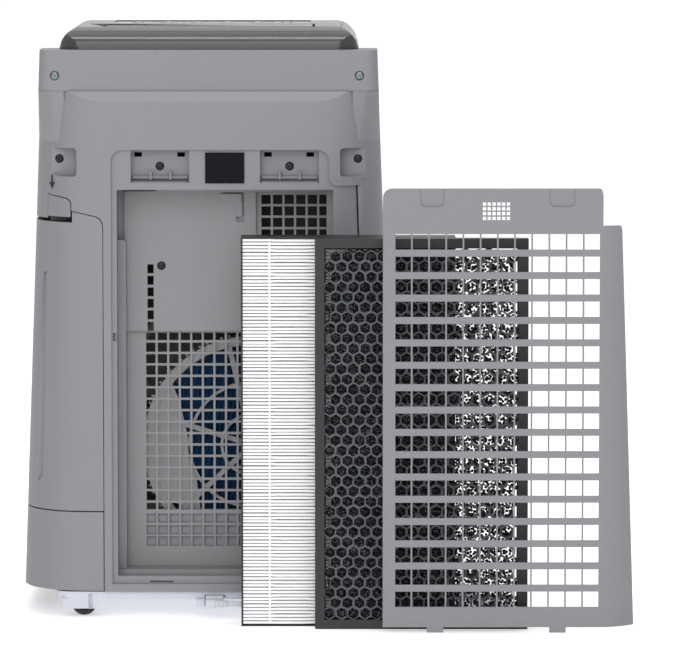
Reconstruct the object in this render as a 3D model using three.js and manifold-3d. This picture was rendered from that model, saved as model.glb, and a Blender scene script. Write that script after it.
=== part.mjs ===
// A floor-standing air purifier with a humidifier, with its rear panel and both filters taken out and
// standing on the floor beside the filter bay. Millimetres, +Z up, the service side (rear) faces -Y.
import * as THREE from "three";
import { mergeVertices } from "three/addons/utils/BufferGeometryUtils.js";
import Module from "manifold-3d";

const wasm = await Module();
wasm.setup();

// ---- driving dimensions ----
const gap = 0.3; // between pieces that touch
const wall = 3;
const halfWidth = 210.5; // cabinet at floor level, at its widest
const creaseX = 183; // where the rear face turns into the side
const creaseY = -133;
const rearY = -150;
const cabinetFrontY = 136;
const frontPanelY = 150;
const taperPerMm = 0.000172; // the cabinet narrows by this share for each mm of height
const baseBottom = 21;
const cabinetBottom = 30;
const ledgeZ = 589; // the upper cabinet starts here
const cabinetTop = 634;
const upperRearY = -140;
const lidTop = 658.5;
const lidRidge = 648; // height of the lid's rear edge

const bay = { left: -102, right: 138.6, bottom: 47, top: 479.7, back: -92 }; // inside of the filter bay
const recess = { left: -108, topRight: 134, bottom: 38.7, top: 524, shoulder: 484, depth: 4 };
const grid = {
  left: -72, bottom: 72, pitch: 13, hole: 10.4, columns: 16, rows: 19, topColumns: 6, topRows: 11,
};
const wheelRadius = 14.5; // casters
const casterX = 141;
const casterRearY = -118;
const casterFrontY = 95;
const tankRight = -117.5;
const tankFrontY = -36;
const tankBottom = 121;
const tankTop = 455;
const latchLow = 449;
const latchHigh = 472;
const latchRight = -153;
const humid = { x: 47, z: 187, radius: 126, rear: -80, front: -44 }; // humidifying wheel
const troughRight = 180;
const trayWall = 2.5;
const pinionRadius = 12;
const rollerRadius = 8;
const fan = { x: 5, z: 275, radius: 95, rear: -12, front: 52 };
const duct = { left: -130, right: 140, rear: -28, front: 78, bottom: 150, top: 612, wall: 2.5 };

const hepa = { width: 236, height: 431.5, depth: 35, left: 37, rear: -171 };
const carbon = { width: 234, height: 431.5, depth: 16, left: 118.5, rear: -210 };
const panel = {
  left: 192.8, front: -250, sheet: 2.8, height: 482, tab: 6, topWidth: 240,
  shoulder: 441.5, shoulderWidth: 260.8, bottomWidth: 276, wrap: 20,
};
const slats = {
  left: 13.5, bottom: 22.4, pitch: 24.56, open: 16.4, rows: 17, bays: 3, bayPitch: 74.9, bayOpen: 72.9,
};
const panelVent = { left: 108.5, right: 139.1, low: 449, high: 469 };
const panelTabs = { centres: [57.5, 191.7], half: 9 };
const panelWrapStart = 232;

// openings in the rear of the cabinet
const finger = { spans: [[-86, -21.2], [57.2, 122.8]], low: 487, high: 514, back: -133, pad: 3 };
const hook = { xs: [-78.3, -30.4, 66, 113], half: 4.2, low: 515.5, high: 520.5 };
const sensor = { left: -3.5, right: 39.9, low: 486.7, high: 520.8 };
const sidePit = { near: 149, low: 496.5, high: 525.5, back: -126, pad: 5.5, padWall: 4 };
const far = 400; // reaches past every piece, for the shapes that cut

const cord = { radius: 3.4, exitX: 21, exitY: -157.6, exitZ: 17.9 };
const coil = { x: 287, y: -112, inner: 23.8, outer: 53.2, bottom: 1.2, top: 16.8 };
const plug = { x: 297, y: -46, length: 34, width: 25, height: 16, bladeLength: 17, bladeSpacing: 12.7 };

// ---- shape helpers ----
const solid = (geometry) => {
  const g = geometry.index ? geometry.toNonIndexed() : geometry.clone();
  g.deleteAttribute("normal");
  g.deleteAttribute("uv");
  const merged = mergeVertices(g, 1e-3);
  const mesh = new wasm.Mesh({
    numProp: 3,
    vertProperties: new Float32Array(merged.attributes.position.array),
    triVerts: new Uint32Array(merged.index.array),
  });
  return new wasm.Manifold(mesh);
};

const geometryOf = (body) => {
  const mesh = body.getMesh();
  const g = new THREE.BufferGeometry();
  g.setAttribute("position", new THREE.BufferAttribute(new Float32Array(mesh.vertProperties), 3));
  g.setIndex(new THREE.BufferAttribute(new Uint32Array(mesh.triVerts), 1));
  g.computeVertexNormals();
  return g;
};

const join = (first, ...others) => others.reduce((sum, other) => sum.add(other), first);
const cut = (first, ...others) => others.reduce((rest, other) => rest.subtract(other), first);

const box = (x0, x1, y0, y1, z0, z1) =>
  solid(new THREE.BoxGeometry(x1 - x0, y1 - y0, z1 - z0)
    .translate((x0 + x1) / 2, (y0 + y1) / 2, (z0 + z1) / 2));

// a plan outline pushed up along Z
const prism = (shape, z0, z1, curveSegments = 6) =>
  new THREE.ExtrudeGeometry(shape, { depth: z1 - z0, bevelEnabled: false, curveSegments })
    .translate(0, 0, z0);

// an outline drawn in X and Z, with its thickness from y0 to y1
const upright = (shape, y0, y1, curveSegments = 6) =>
  new THREE.ExtrudeGeometry(shape, { depth: y1 - y0, bevelEnabled: false, curveSegments })
    .rotateX(Math.PI / 2)
    .translate(0, y1, 0);

// an outline drawn in Y and Z, with its width from x0 to x1
const sideways = (points, x0, x1) =>
  new THREE.ExtrudeGeometry(new THREE.Shape(points.map(([y, z]) => new THREE.Vector2(y, z))),
    { depth: x1 - x0, bevelEnabled: false })
    .rotateY(Math.PI / 2)
    .rotateX(Math.PI / 2)
    .translate(x0, 0, 0);

// a cylinder, or a ring where inner is given, along Y or Z
const ringProfile = (inner, outer, low, high) =>
  inner > 0
    ? [[inner, low], [outer, low], [outer, high], [inner, high], [inner, low]]
    : [[0, low], [outer, low], [outer, high], [0, high]];
const lathe = (profile, segments) =>
  new THREE.LatheGeometry(profile.map(([r, h]) => new THREE.Vector2(r, h)), segments);
const alongY = (x, z, inner, outer, y0, y1, segments = 24) =>
  solid(lathe(ringProfile(inner, outer, y0, y1), segments).translate(x, 0, z));
const alongZ = (x, y, inner, outer, z0, z1, segments = 24) =>
  solid(lathe(ringProfile(inner, outer, z0, z1), segments).rotateX(Math.PI / 2).translate(x, y, 0));

const roundedRect = (x0, x1, y0, y1, r) => {
  const s = new THREE.Shape();
  s.moveTo(x0 + r, y0);
  s.lineTo(x1 - r, y0);
  s.absarc(x1 - r, y0 + r, r, -Math.PI / 2, 0);
  s.lineTo(x1, y1 - r);
  s.absarc(x1 - r, y1 - r, r, 0, Math.PI / 2);
  s.lineTo(x0 + r, y1);
  s.absarc(x0 + r, y1 - r, r, Math.PI / 2, Math.PI);
  s.lineTo(x0, y0 + r);
  s.absarc(x0 + r, y0 + r, r, Math.PI, Math.PI * 1.5);
  return s;
};

// the right half of an outline, mirrored into a whole one
const mirrored = (path, divisions) => {
  const right = path.getPoints(divisions);
  const left = right.slice(1, -1).map((p) => new THREE.Vector2(-p.x, p.y)).reverse();
  return new THREE.Shape([...right, ...left]);
};

// plan of the main cabinet, drawn in by inset
const cabinetPlan = (inset) => {
  const w = halfWidth - inset;
  const half = new THREE.Path();
  half.moveTo(0, rearY + inset);
  half.lineTo(125, rearY + inset);
  half.quadraticCurveTo(168 - inset * 0.4, rearY + inset, creaseX - inset * 0.8, creaseY + inset * 0.7);
  half.quadraticCurveTo(w - 4, -116, w, -80);
  half.lineTo(w, 78);
  half.quadraticCurveTo(w, cabinetFrontY - inset, w - 52, cabinetFrontY - inset);
  half.lineTo(0, cabinetFrontY - inset);
  return mirrored(half, 5);
};

// plan of the squarer upper cabinet
const upperPlan = (inset) => {
  const w = halfWidth - inset;
  const y = upperRearY + inset;
  const half = new THREE.Path();
  half.moveTo(0, y);
  half.lineTo(w - 17, y);
  half.quadraticCurveTo(w, y, w, y + 17);
  half.lineTo(w, 78);
  half.quadraticCurveTo(w, cabinetFrontY - inset, w - 52, cabinetFrontY - inset);
  half.lineTo(0, cabinetFrontY - inset);
  return mirrored(half, 5);
};

const taper = (geometry) => {
  const p = geometry.attributes.position;
  for (let i = 0; i < p.count; i++) p.setX(i, p.getX(i) * (1 - taperPerMm * p.getZ(i)));
  return geometry;
};
const cabinetBlock = (inset, z0, z1) => solid(taper(prism(cabinetPlan(inset), z0, z1)));

// ---- the assembly ----
const purifier = new THREE.Group();
const paint = {
  cabinet: [0x8f8f93, 0.5, 0],
  lid: [0x6f6f6c, 0.3, 0],
  base: [0xd6d8e4, 0.5, 0],
  grille: [0x8c8c90, 0.5, 0],
  black: [0x15161a, 0.7, 0],
  steel: [0x9aa0a4, 0.35, 1],
  blue: [0x0d4a78, 0.8, 0],
  paper: [0xf2f2f2, 0.9, 0],
  carbon: [0x1d2027, 0.9, 0],
  smoke: [0x24252a, 0.15, 0],
  board: [0x1f5a36, 0.6, 0],
};
const add = (name, body, finish, parent = purifier) => {
  const [color, roughness, metalness] = paint[finish];
  const material = new THREE.MeshStandardMaterial({ color, roughness, metalness });
  const mesh = new THREE.Mesh(geometryOf(body), material);
  mesh.name = name;
  parent.add(mesh);
  return mesh;
};

// ---- base, casters and cabinet ----
const corners = [["rear_left", -casterX, casterRearY], ["rear_right", casterX, casterRearY],
  ["front_left", -casterX, casterFrontY], ["front_right", casterX, casterFrontY]];

const makeBase = () => {
  let body = solid(prism(roundedRect(-172, 172, -146, 124, 18), baseBottom, cabinetBottom - gap, 3));
  for (const [, x, y] of corners) {
    body = join(body, box(x - 23, x + 18, y - 28, y + 16, 10.6, baseBottom + 1));
    body = cut(body, box(x - 17.5, x + 17.5, y - 7, y + 7, 0, 35)); // wheel well
    body = cut(body, box(x - 2.9, x + 2.9, y - 12, y + 12, 0, wheelRadius + 2.9)); // snap-in axle slots
  }
  body = join(body, box(-14.5, 16, -152, -122, 13, baseBottom + 1)); // cord outlet block
  return cut(body, box(-5, 18, -153, -138, 15, 26));
};
add("base_frame", makeBase(), "base");
for (const [place, x, y] of corners) {
  const tread = alongY(x, wheelRadius, 0, wheelRadius, y - 6, y + 6, 24);
  const pins = alongY(x, wheelRadius, 0, 2.5, y - 11, y + 11, 10);
  add("caster_wheel_" + place, join(tread, pins), "black");
}

const tankSpace = () => box(-far, tankRight + 0.6, -far, tankFrontY + 1, 0, latchLow - 2.3);
const latchSpace = () => box(-far, latchRight + 0.6, -far, -118, tankBottom, latchHigh + 0.8);
// a box that starts near the middle and reaches out to the left (-1) or the right (1)
const sideBox = (side, near, ...rest) => (side < 0 ? box(-far, -near, ...rest) : box(near, far, ...rest));
const sidePocket = (side) => sideBox(side, sidePit.near, -far, sidePit.back, sidePit.low, sidePit.high);
const sidePad = (side, extra) => {
  const reach = sidePit.pad + extra + 1;
  return sideBox(side, sidePit.near - sidePit.padWall - extra, -far, sidePit.back + sidePit.padWall + extra,
    sidePit.low - reach, sidePit.high + sidePit.pad + extra);
};

const makeFrontCabinet = () => {
  const shell = cut(cabinetBlock(0, cabinetBottom, ledgeZ - gap), cabinetBlock(wall, 0, 700));
  return cut(shell,
    box(-far, far, -far, creaseY + 2, 0, 700),
    sidePad(-1, gap), sidePad(1, gap),
    tankSpace(), latchSpace());
};
add("front_cabinet", makeFrontCabinet(), "cabinet");

const makeRearCabinet = () => {
  const back = box(-far, far, -far, creaseY + 2 - gap, 0, 700);
  let body = cut(cabinetBlock(0, cabinetBottom, ledgeZ - gap), cabinetBlock(7, 0, 700)).intersect(back);
  // thick pads behind the pockets
  for (const [x0, x1] of finger.spans) {
    body = join(body, box(x0 - finger.pad, x1 + finger.pad, -144, finger.back + finger.pad,
      finger.low - finger.pad, recess.top));
  }
  for (const side of [-1, 1]) {
    body = join(body, cabinetBlock(0, cabinetBottom, ledgeZ).intersect(sidePad(side, 0)));
    body = cut(body, sidePocket(side));
  }
  const sunk = cut(cabinetBlock(-5, 0, 700), cabinetBlock(recess.depth, -1, 701));
  const seat = join(box(recess.left, recess.topRight, -far, -100, recess.bottom, recess.top),
    box(recess.left, far, -far, creaseY + 3, recess.bottom, recess.shoulder));
  const mouth = wall + gap;
  body = cut(body, sunk.intersect(seat),
    box(bay.left - mouth, bay.right + mouth, -far, -100, bay.bottom - mouth, bay.top + mouth));
  for (const [x0, x1] of finger.spans) {
    body = cut(body, box(x0, x1, -far, finger.back, finger.low, finger.high));
  }
  for (const x of hook.xs) {
    body = cut(body, box(x - hook.half, x + hook.half, -far, -120, hook.low, hook.high));
  }
  body = cut(body, box(sensor.left, sensor.right, -far, -120, sensor.low, sensor.high));
  // sloped ledge up to the upper cabinet
  const slope = sideways([[-far, ledgeZ - 13], [rearY - 1, ledgeZ - 13], [upperRearY - 0.5, ledgeZ + 1],
    [-far, ledgeZ + 1]], -far, far);
  const tankShoulder = box(-far, tankRight + 0.6, -far, -120, 0, tankTop + 0.8);
  return cut(body, solid(slope), tankSpace(), latchSpace(), tankShoulder);
};
add("rear_cabinet", makeRearCabinet(), "cabinet");

const lidHollow = { half: 150, reach: 112 };
const hollow = (z0, z1) => box(-lidHollow.half, lidHollow.half, -lidHollow.reach, lidHollow.reach, z0, z1);
const makeUpperCabinet = () => {
  const outer = solid(taper(prism(upperPlan(0), ledgeZ, cabinetTop)));
  const inner = solid(taper(prism(upperPlan(4), 0, cabinetTop - wall)));
  return cut(outer, inner, hollow(600, 700)); // the deck opens under the lid
};
add("upper_cabinet", makeUpperCabinet(), "cabinet");

const makeFrontPanel = () => {
  const half = new THREE.Path();
  half.moveTo(0, cabinetFrontY + gap);
  half.lineTo(198, cabinetFrontY + gap);
  half.quadraticCurveTo(200, 145, 190, 146.5);
  half.quadraticCurveTo(100, frontPanelY, 0, frontPanelY);
  const slab = solid(taper(prism(mirrored(half, 5), 36, 622)));
  return slab.intersect(solid(upright(roundedRect(-200, 200, 36, 622, 16), 100, 200, 3)));
};
add("front_panel", makeFrontPanel(), "lid");

// ---- top cover, outlet flap and controls ----
const outlet = { left: -118, right: 118, rear: -92, front: -8 };
const controls = { left: -112, right: 112, rear: 36, front: 108 };
const lid = { half: 167, reach: 128, corner: 30 };
const makeTopCover = () => {
  const footprint = roundedRect(-lid.half, lid.half, -lid.reach, lid.reach, lid.corner);
  const plan = solid(prism(footprint, cabinetTop + gap, lidTop + 1, 4));
  const front = new THREE.Path();
  front.moveTo(0, cabinetTop);
  front.lineTo(lid.half, cabinetTop);
  front.lineTo(163.5, lidRidge - 4);
  front.quadraticCurveTo(154, lidTop, 140, lidTop);
  front.lineTo(0, lidTop);
  const across = solid(upright(mirrored(front, 4), -140, 140));
  const along = solid(sideways([[-lid.reach, 620], [lid.reach, 620], [lid.reach, lidRidge], [118, lidTop],
    [outlet.rear, lidTop], [-110, lidTop - 3], [-124, lidRidge]], -far, far));
  const body = plan.intersect(across).intersect(along);
  return cut(body, hollow(600, lidTop - wall - 2),
    box(outlet.left, outlet.right, outlet.rear, outlet.front, 600, 700),
    box(controls.left, controls.right, controls.rear, controls.front, 600, 700));
};
add("top_cover", makeTopCover(), "lid");

const flapHinge = { y: outlet.rear + 5, z: lidTop - 4, radius: 2.4 };
const makeFlap = () => {
  const blade = box(outlet.left + 3, outlet.right - 3, flapHinge.y + 1, outlet.front - 1,
    lidTop - 3.2, lidTop - 0.2);
  const length = outlet.right - outlet.left - 6;
  const barrel = solid(new THREE.CylinderGeometry(flapHinge.radius, flapHinge.radius, length, 12)
    .rotateZ(Math.PI / 2)
    .translate((outlet.left + outlet.right) / 2, flapHinge.y, flapHinge.z));
  return join(blade, barrel);
};
add("outlet_flap", makeFlap(), "lid");

const buttonNames = ["power", "mode", "fan_speed", "timer", "brightness", "humidify"];
const buttonPitch = 34;
const buttonY = 58;
const buttonX = (i) => (i - (buttonNames.length - 1) / 2) * buttonPitch;
const display = { left: -70, right: 70, rear: 76, front: 100 };
const makeControlPanel = () => {
  let body = box(controls.left + gap, controls.right - gap, controls.rear + gap, controls.front - gap,
    lidTop - 4, lidTop - 1);
  buttonNames.forEach((name, i) => {
    body = cut(body, alongZ(buttonX(i), buttonY, 0, 8, 600, 700, 16));
  });
  return cut(body, box(display.left, display.right, display.rear, display.front, 600, 700));
};
add("control_panel", makeControlPanel(), "smoke");
buttonNames.forEach((name, i) => {
  const cap = alongZ(buttonX(i), buttonY, 0, 7.4, lidTop - 4, lidTop, 16);
  const stem = alongZ(buttonX(i), buttonY, 0, 3, lidTop - 9, lidTop - 3, 8);
  add("button_" + name, join(cap, stem), "smoke");
});
add("display_window", box(display.left + gap, display.right - gap, display.rear + gap, display.front - gap,
  lidTop - 3.5, lidTop - 1.3), "smoke");
add("control_board", box(-108, 108, 40, 104, 640, 641.6), "board");

// ---- filter bay, sensor and inner parts ----
const makeBay = () => {
  const outer = box(bay.left - wall, bay.right + wall, rearY + recess.depth, bay.back,
    bay.bottom - wall, bay.top + wall);
  return cut(outer, box(bay.left, bay.right, -far, 0, bay.bottom, bay.top));
};
add("filter_bay", makeBay(), "grille");

const makeBayGrille = () => {
  let body = box(bay.left - wall, bay.right + wall, bay.back + gap, bay.back + 2.8,
    bay.bottom - wall, bay.top + wall);
  const span = grid.columns * grid.pitch - (grid.pitch - grid.hole);
  for (let row = 0; row < grid.rows; row++) {
    const z = grid.bottom + row * grid.pitch;
    for (const part of [0, 1]) {
      const x = grid.left + (part * (span + grid.pitch - grid.hole)) / 2;
      body = cut(body, box(x, x + span / 2 - 1.3, -100, -80, z, z + grid.hole));
    }
  }
  for (let row = 0; row < grid.topRows; row++) {
    const z = grid.bottom + (grid.rows + row) * grid.pitch;
    const x = grid.left + (grid.columns - grid.topColumns) * grid.pitch;
    body = cut(body, box(x, x + grid.topColumns * grid.pitch - 5, -100, -80, z, z + grid.hole));
  }
  return body;
};
add("bay_grille", makeBayGrille(), "grille");
add("sensor_box", box(sensor.left + 0.9, sensor.right - 0.9, -143, -112, sensor.low + 0.9, sensor.high - 1),
  "black");
const sensorPad = box(sensor.left + gap, sensor.right - gap, -148, -143.3, sensor.low + gap, sensor.high - gap);
add("sensor_filter", sensorPad, "black");
add("ion_unit", box(146, 168, -20, 40, 470, 540), "black");

const makeDuct = () => {
  const outer = box(duct.left, duct.right, duct.rear, duct.front, duct.bottom, duct.top);
  const inner = box(duct.left + duct.wall, duct.right - duct.wall,
    duct.rear + duct.wall, duct.front - duct.wall, duct.bottom + duct.wall, 700);
  return cut(outer, inner, alongY(fan.x, fan.z, 0, fan.radius - 8, -60, -20, 32));
};
add("fan_housing", makeDuct(), "grille");
add("fan_motor", alongY(fan.x, fan.z, 0, 42, fan.front + 3, duct.front - duct.wall - gap, 24), "steel");

const bladeCount = 22;
const makeFan = () => {
  const plate = alongY(fan.x, fan.z, 4.3, fan.radius, fan.front - 3, fan.front, 32);
  const rim = alongY(fan.x, fan.z, fan.radius - 14, fan.radius, fan.rear, fan.rear + 2.5, 32);
  let body = join(plate, rim);
  for (let i = 0; i < bladeCount; i++) {
    const blade = new THREE.BoxGeometry(12, fan.front - fan.rear - 2, 1.6)
      .rotateY(0.6)
      .translate(fan.radius - 7.5, (fan.front + fan.rear) / 2, 0)
      .rotateY((i * 2 * Math.PI) / bladeCount)
      .translate(fan.x, 0, fan.z);
    body = join(body, solid(blade));
  }
  return body;
};
add("fan_rotor", makeFan(), "grille");
add("fan_shaft", alongY(fan.x, fan.z, 0, 4, fan.front - 12, fan.front + 2.7, 12), "steel");

// ---- humidifier: wheel, drive, tray and tank ----
const spokes = 6;
const makeWheelFrame = () => {
  let body = join(alongY(humid.x, humid.z, humid.radius - 8, humid.radius, humid.rear, humid.front, 36),
    alongY(humid.x, humid.z, 0, 11, humid.rear, humid.front, 16));
  for (let i = 0; i < spokes; i++) {
    const spoke = new THREE.BoxGeometry(humid.radius - 10, 3, 6)
      .translate((humid.radius - 2) / 2, humid.rear + 1.5, 0)
      .rotateY((i * 2 * Math.PI) / spokes + 0.3)
      .translate(humid.x, 0, humid.z);
    body = join(body, solid(spoke));
  }
  return body;
};
add("humidifier_frame", makeWheelFrame(), "grille");
add("humidifier_media",
  alongY(humid.x, humid.z, 11.8, humid.radius - 8.8, humid.rear + 3.5, humid.front - 1, 32), "blue");

const driveReach = (humid.radius + pinionRadius + 0.5) * Math.SQRT1_2;
const drive = { x: humid.x + driveReach, z: humid.z + driveReach };
add("drive_pinion", alongY(drive.x, drive.z, 0, pinionRadius, humid.rear, humid.front, 18), "base");
const gearHalf = 17;
add("gear_motor", box(drive.x - gearHalf, drive.x + gearHalf, humid.front + 0.5, duct.rear - gap,
  drive.z - gearHalf, drive.z + gearHalf), "black");

const makeTray = () => {
  const front = cabinetBlock(0, cabinetBottom + 1, tankBottom - 1.2)
    .intersect(box(-far, tankRight, -far, tankFrontY, 0, 200));
  const trough = box(tankRight - 20, troughRight, -87.5, tankFrontY, cabinetBottom + 4, 115);
  const well = cabinetBlock(wall, cabinetBottom + 6, 300)
    .intersect(box(-far, tankRight - trayWall, -far, tankFrontY - trayWall, 0, 300));
  const channel = box(tankRight - 30, troughRight - trayWall,
    -85, tankFrontY - trayWall, cabinetBottom + 6.5, 300);
  return cut(join(front, trough), well, channel);
};
add("water_tray", makeTray(), "cabinet");
const rollerReach = humid.radius + rollerRadius + 0.5;
const rollerTurn = 0.61; // angle of each roller from straight below the wheel's centre
const rollerX = (side) => humid.x + side * Math.sin(rollerTurn) * rollerReach;
const rollerZ = humid.z - Math.cos(rollerTurn) * rollerReach;
for (const [place, side] of [["left", -1], ["right", 1]]) {
  const roller = alongY(rollerX(side), rollerZ, 0, rollerRadius, humid.rear, humid.front, 16);
  add("wheel_roller_" + place, roller, "base");
}
const floatPivot = { x: -88, z: 66 };
const makeFloat = () => join(box(-112, -96, -78, -46, 58, 74), box(-97, floatPivot.x + 2, -66, -58, 64, 68));
add("tray_float", makeFloat(), "paper");

const capX = -158;
const capY = -92;
const makeTank = () => {
  const body = cabinetBlock(0, tankBottom, tankTop)
    .intersect(box(-far, tankRight, -far, tankFrontY, 0, 500));
  const capRecess = alongZ(capX, capY, 0, 26, 100, tankBottom + 24, 20);
  const neck = alongZ(capX, capY, 0, 19, tankBottom + 4, tankBottom + 26, 20);
  const overLatch = box(-far, latchRight + 1.6, -far, 0, latchLow - 6, 500);
  const overFront = box(-far, -100, -119.5, 0, latchLow - 6, 500);
  return join(cut(body, overLatch, overFront, capRecess), neck);
};
add("water_tank", makeTank(), "cabinet");
const makeCap = () => cut(alongZ(capX, capY, 0, 23, tankBottom + 1, tankBottom + 16, 20),
  alongZ(capX, capY, 0, 19.4, tankBottom + 3.6, tankBottom + 30, 20));
add("tank_cap", makeCap(), "blue");
const makeLatch = () => cabinetBlock(0, latchLow, latchHigh)
  .intersect(box(-far, latchRight, -far, -122, 0, 500));
add("tank_latch", makeLatch(), "cabinet");

// ---- screws ----
// a pan-head screw whose head faces the rear, at (x, z), with its seat at y
const makeScrew = (x, z, seat, head) => {
  const profile = [[0, 0.4], [1.4, 0.4], [1.4, -1.6], [head * 0.7, -2], [head, -0.6], [head, 1], [0, 1]];
  return solid(lathe(profile, 12).translate(x, seat - 1.3, z));
};
add("screw_upper_left", makeScrew(-170, 605.7, upperRearY, 4.6), "steel");
add("screw_upper_right", makeScrew(167.5, 605.7, upperRearY, 4.6), "steel");
add("screw_side_left", makeScrew(-166, 513, sidePit.back, 5), "black");
add("screw_side_right", makeScrew(166, 513, sidePit.back, 5), "black");
add("screw_pocket_left", makeScrew(-54, 505, finger.back, 5), "black");
add("screw_pocket_right", makeScrew(90, 505, finger.back, 5), "black");
add("screw_bay", makeScrew(-54, 388, bay.back, 4.8), "black");

// ---- the pieces standing on the floor ----
const frameOf = (filter, side, depth) => {
  const { left, width, height } = filter;
  const y1 = filter.rear;
  const y0 = filter.rear - filter.depth;
  return cut(box(left, left + width, y0, y1, 0, height),
    box(left + side, left + width - side, y0 - 1, y1 - depth, side, height - side),
    box(left + side + 4, left + width - side - 4, y0 - 1, y1 + 1, side + 4, height - side - 4));
};
add("hepa_frame", frameOf(hepa, 2, 2), "carbon");
add("hepa_pleats", box(hepa.left + 2 + gap, hepa.left + hepa.width - 2 - gap, hepa.rear - hepa.depth + 1.5,
  hepa.rear - 2 - gap, 2 + gap, hepa.height - 2 - gap), "paper");
add("carbon_frame", frameOf(carbon, 10.5, 2), "black");
add("carbon_core", box(carbon.left + 10.5 + gap, carbon.left + carbon.width - 10.5 - gap,
  carbon.rear - carbon.depth + 1, carbon.rear - 2 - gap, 10.5 + gap, carbon.height - 10.5 - gap), "carbon");

// the panel: a sheet that is flat and then wraps round the cabinet's corner on its right
const makeRearPanel = () => {
  const { left, front, sheet, tab } = panel;
  const bend = left + panelWrapStart;
  const edge = left + panel.bottomWidth;
  const sheetPlan = new THREE.Shape();
  sheetPlan.moveTo(left, front);
  sheetPlan.lineTo(bend, front);
  sheetPlan.quadraticCurveTo(edge - 10, front + 1, edge, front + panel.wrap);
  sheetPlan.lineTo(edge - 3, front + panel.wrap + 1.5);
  sheetPlan.quadraticCurveTo(edge - 14, front + sheet + 1, bend, front + sheet);
  sheetPlan.lineTo(left, front + sheet);
  const shoulder = tab + panel.shoulder;
  const shoulderX = left + panel.shoulderWidth;
  const topX = left + panel.topWidth;
  const top = tab + panel.height;
  const outline = new THREE.Shape();
  outline.moveTo(left, tab);
  outline.lineTo(edge, tab);
  outline.lineTo(shoulderX + 0.5, shoulder - 4);
  outline.quadraticCurveTo(shoulderX, shoulder, shoulderX - 4, shoulder);
  outline.lineTo(topX + 7, shoulder);
  outline.quadraticCurveTo(topX, shoulder, topX, shoulder + 9);
  outline.lineTo(topX, top - 10);
  outline.quadraticCurveTo(topX, top, topX - 10, top);
  outline.lineTo(left + 9, top);
  outline.quadraticCurveTo(left, top, left, top - 9);
  let body = solid(prism(sheetPlan, 0, 600, 5)).intersect(solid(upright(outline, front - 5, front + 40, 3)));
  for (const offset of panelTabs.centres) {
    const x = left + offset;
    body = join(body, box(x - panelTabs.half, x + panelTabs.half, front, front + sheet, 0, tab + 2));
  }
  for (let row = 0; row < slats.rows; row++) {
    const z = tab + slats.bottom + row * slats.pitch;
    for (let i = 0; i < slats.bays; i++) {
      const x = left + slats.left + i * slats.bayPitch;
      body = cut(body, box(x, x + slats.bayOpen, front - 10, front + 10, z, z + slats.open));
    }
  }
  return cut(body, box(left + panelVent.left, left + panelVent.right, front - 10, front + 10,
    tab + panelVent.low, tab + panelVent.high));
};
add("rear_panel", makeRearPanel(), "cabinet");

// ---- power cord: gland, run, coil, tie and plug ----
// the relief sleeve lies along X beside the outlet block, held by a foot that sits inside it
const makeGland = () => {
  const sleeve = lathe([[0, -25], [5, -25], [5, -16], [4.1, -gap], [0, -gap]], 12)
    .rotateZ(-Math.PI / 2)
    .translate(cord.exitX, cord.exitY, cord.exitZ);
  const foot = box(-4, 12, cord.exitY, -139, 15.3, 20.5);
  const plate = box(-4, 15.7, -151, -139, 15.3, 25.6);
  return join(solid(sleeve), foot, plate);
};
add("cord_gland", makeGland(), "base");

const tube = (points, radius, steps) => {
  const curve = new THREE.CatmullRomCurve3(points.map(([x, y, z]) => new THREE.Vector3(x, y, z)));
  const section = new THREE.Shape();
  section.absarc(0, 0, radius, 0, 2 * Math.PI);
  return solid(new THREE.ExtrudeGeometry(section, { steps, extrudePath: curve, curveSegments: 4 }));
};
const cordNodes = ["cord_gland", "power_cord", "cord_coil", "cord_tie", "cord_tail", "plug_body",
  "plug_blade_rear", "plug_blade_front"];

// the run leaves the sleeve along +X, sinks to the floor and passes behind the cabinet to the coil
const runPoints = [
  [21, -157.6, 17.9], [32, -157.6, 17.7], [46, -157.8, 16.3], [62, -158.5, 13.2], [80, -159.6, 9.2],
  [98, -160.6, 6], [118, -161.2, 4.2], [140, -161.5, 3.8], [165, -161.5, 3.8], [190, -161.5, 3.8],
  [215, -161.5, 3.9], [238, -161.5, 4.2], [258, -161.5, 4.6],
];
add("power_cord", tube(runPoints, cord.radius, 34), "base");
add("cord_coil", alongZ(coil.x, coil.y, coil.inner, coil.outer, coil.bottom, coil.top, 28), "base");

const tieAngle = 20;
const makeTie = () => {
  const strap = box(coil.inner - 1.3, coil.outer + 1.3, -3, 3, 0.2, coil.top + 1);
  const inside = box(coil.inner - 0.5, coil.outer + 0.5, -5, 5, 0.8, coil.top + 0.4);
  return cut(strap, inside).rotate([0, 0, tieAngle]).translate([coil.x, coil.y, 0]);
};
add("cord_tie", makeTie(), "black");

// the tail leaves the top of the coil, drops to the floor and turns back to the plug
const tailPoints = [
  [336.5, -83.5, 9.2], [336, -76, 7.4], [333.5, -67, 5.4], [328.5, -58.5, 4.4],
  [321.5, -51.8, 4.2], [313.5, -48, 5], [305.5, -46.2, 6.8], [297.8, -46, 8],
];
add("cord_tail", tube(tailPoints, cord.radius, 16), "base");
const plugSide = plug.width / 2;
const plugPlan = roundedRect(plug.x - plug.length, plug.x, plug.y - plugSide, plug.y + plugSide, 5);
add("plug_body", solid(prism(plugPlan, 0, plug.height, 3)), "base");
for (const [place, side] of [["rear", -1], ["front", 1]]) {
  const y = plug.y + (side * plug.bladeSpacing) / 2;
  const tip = plug.x - plug.length - plug.bladeLength;
  add("plug_blade_" + place, box(tip, plug.x - plug.length - gap, y - 0.8, y + 0.8, plug.height / 2 - 3.1,
    plug.height / 2 + 3.1), "steel");
}

// ---- stand the laid-out set on its own footprint: origin under the middle of it, on the floor ----
const extent = new THREE.Box3();
const standing = purifier.children.filter((mesh) => !cordNodes.includes(mesh.name));
standing.forEach((mesh) => extent.expandByObject(mesh));
const centre = extent.getCenter(new THREE.Vector3());
purifier.position.set(-centre.x, -centre.y, -extent.min.z);

export default purifier;
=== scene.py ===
import math
import random

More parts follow.
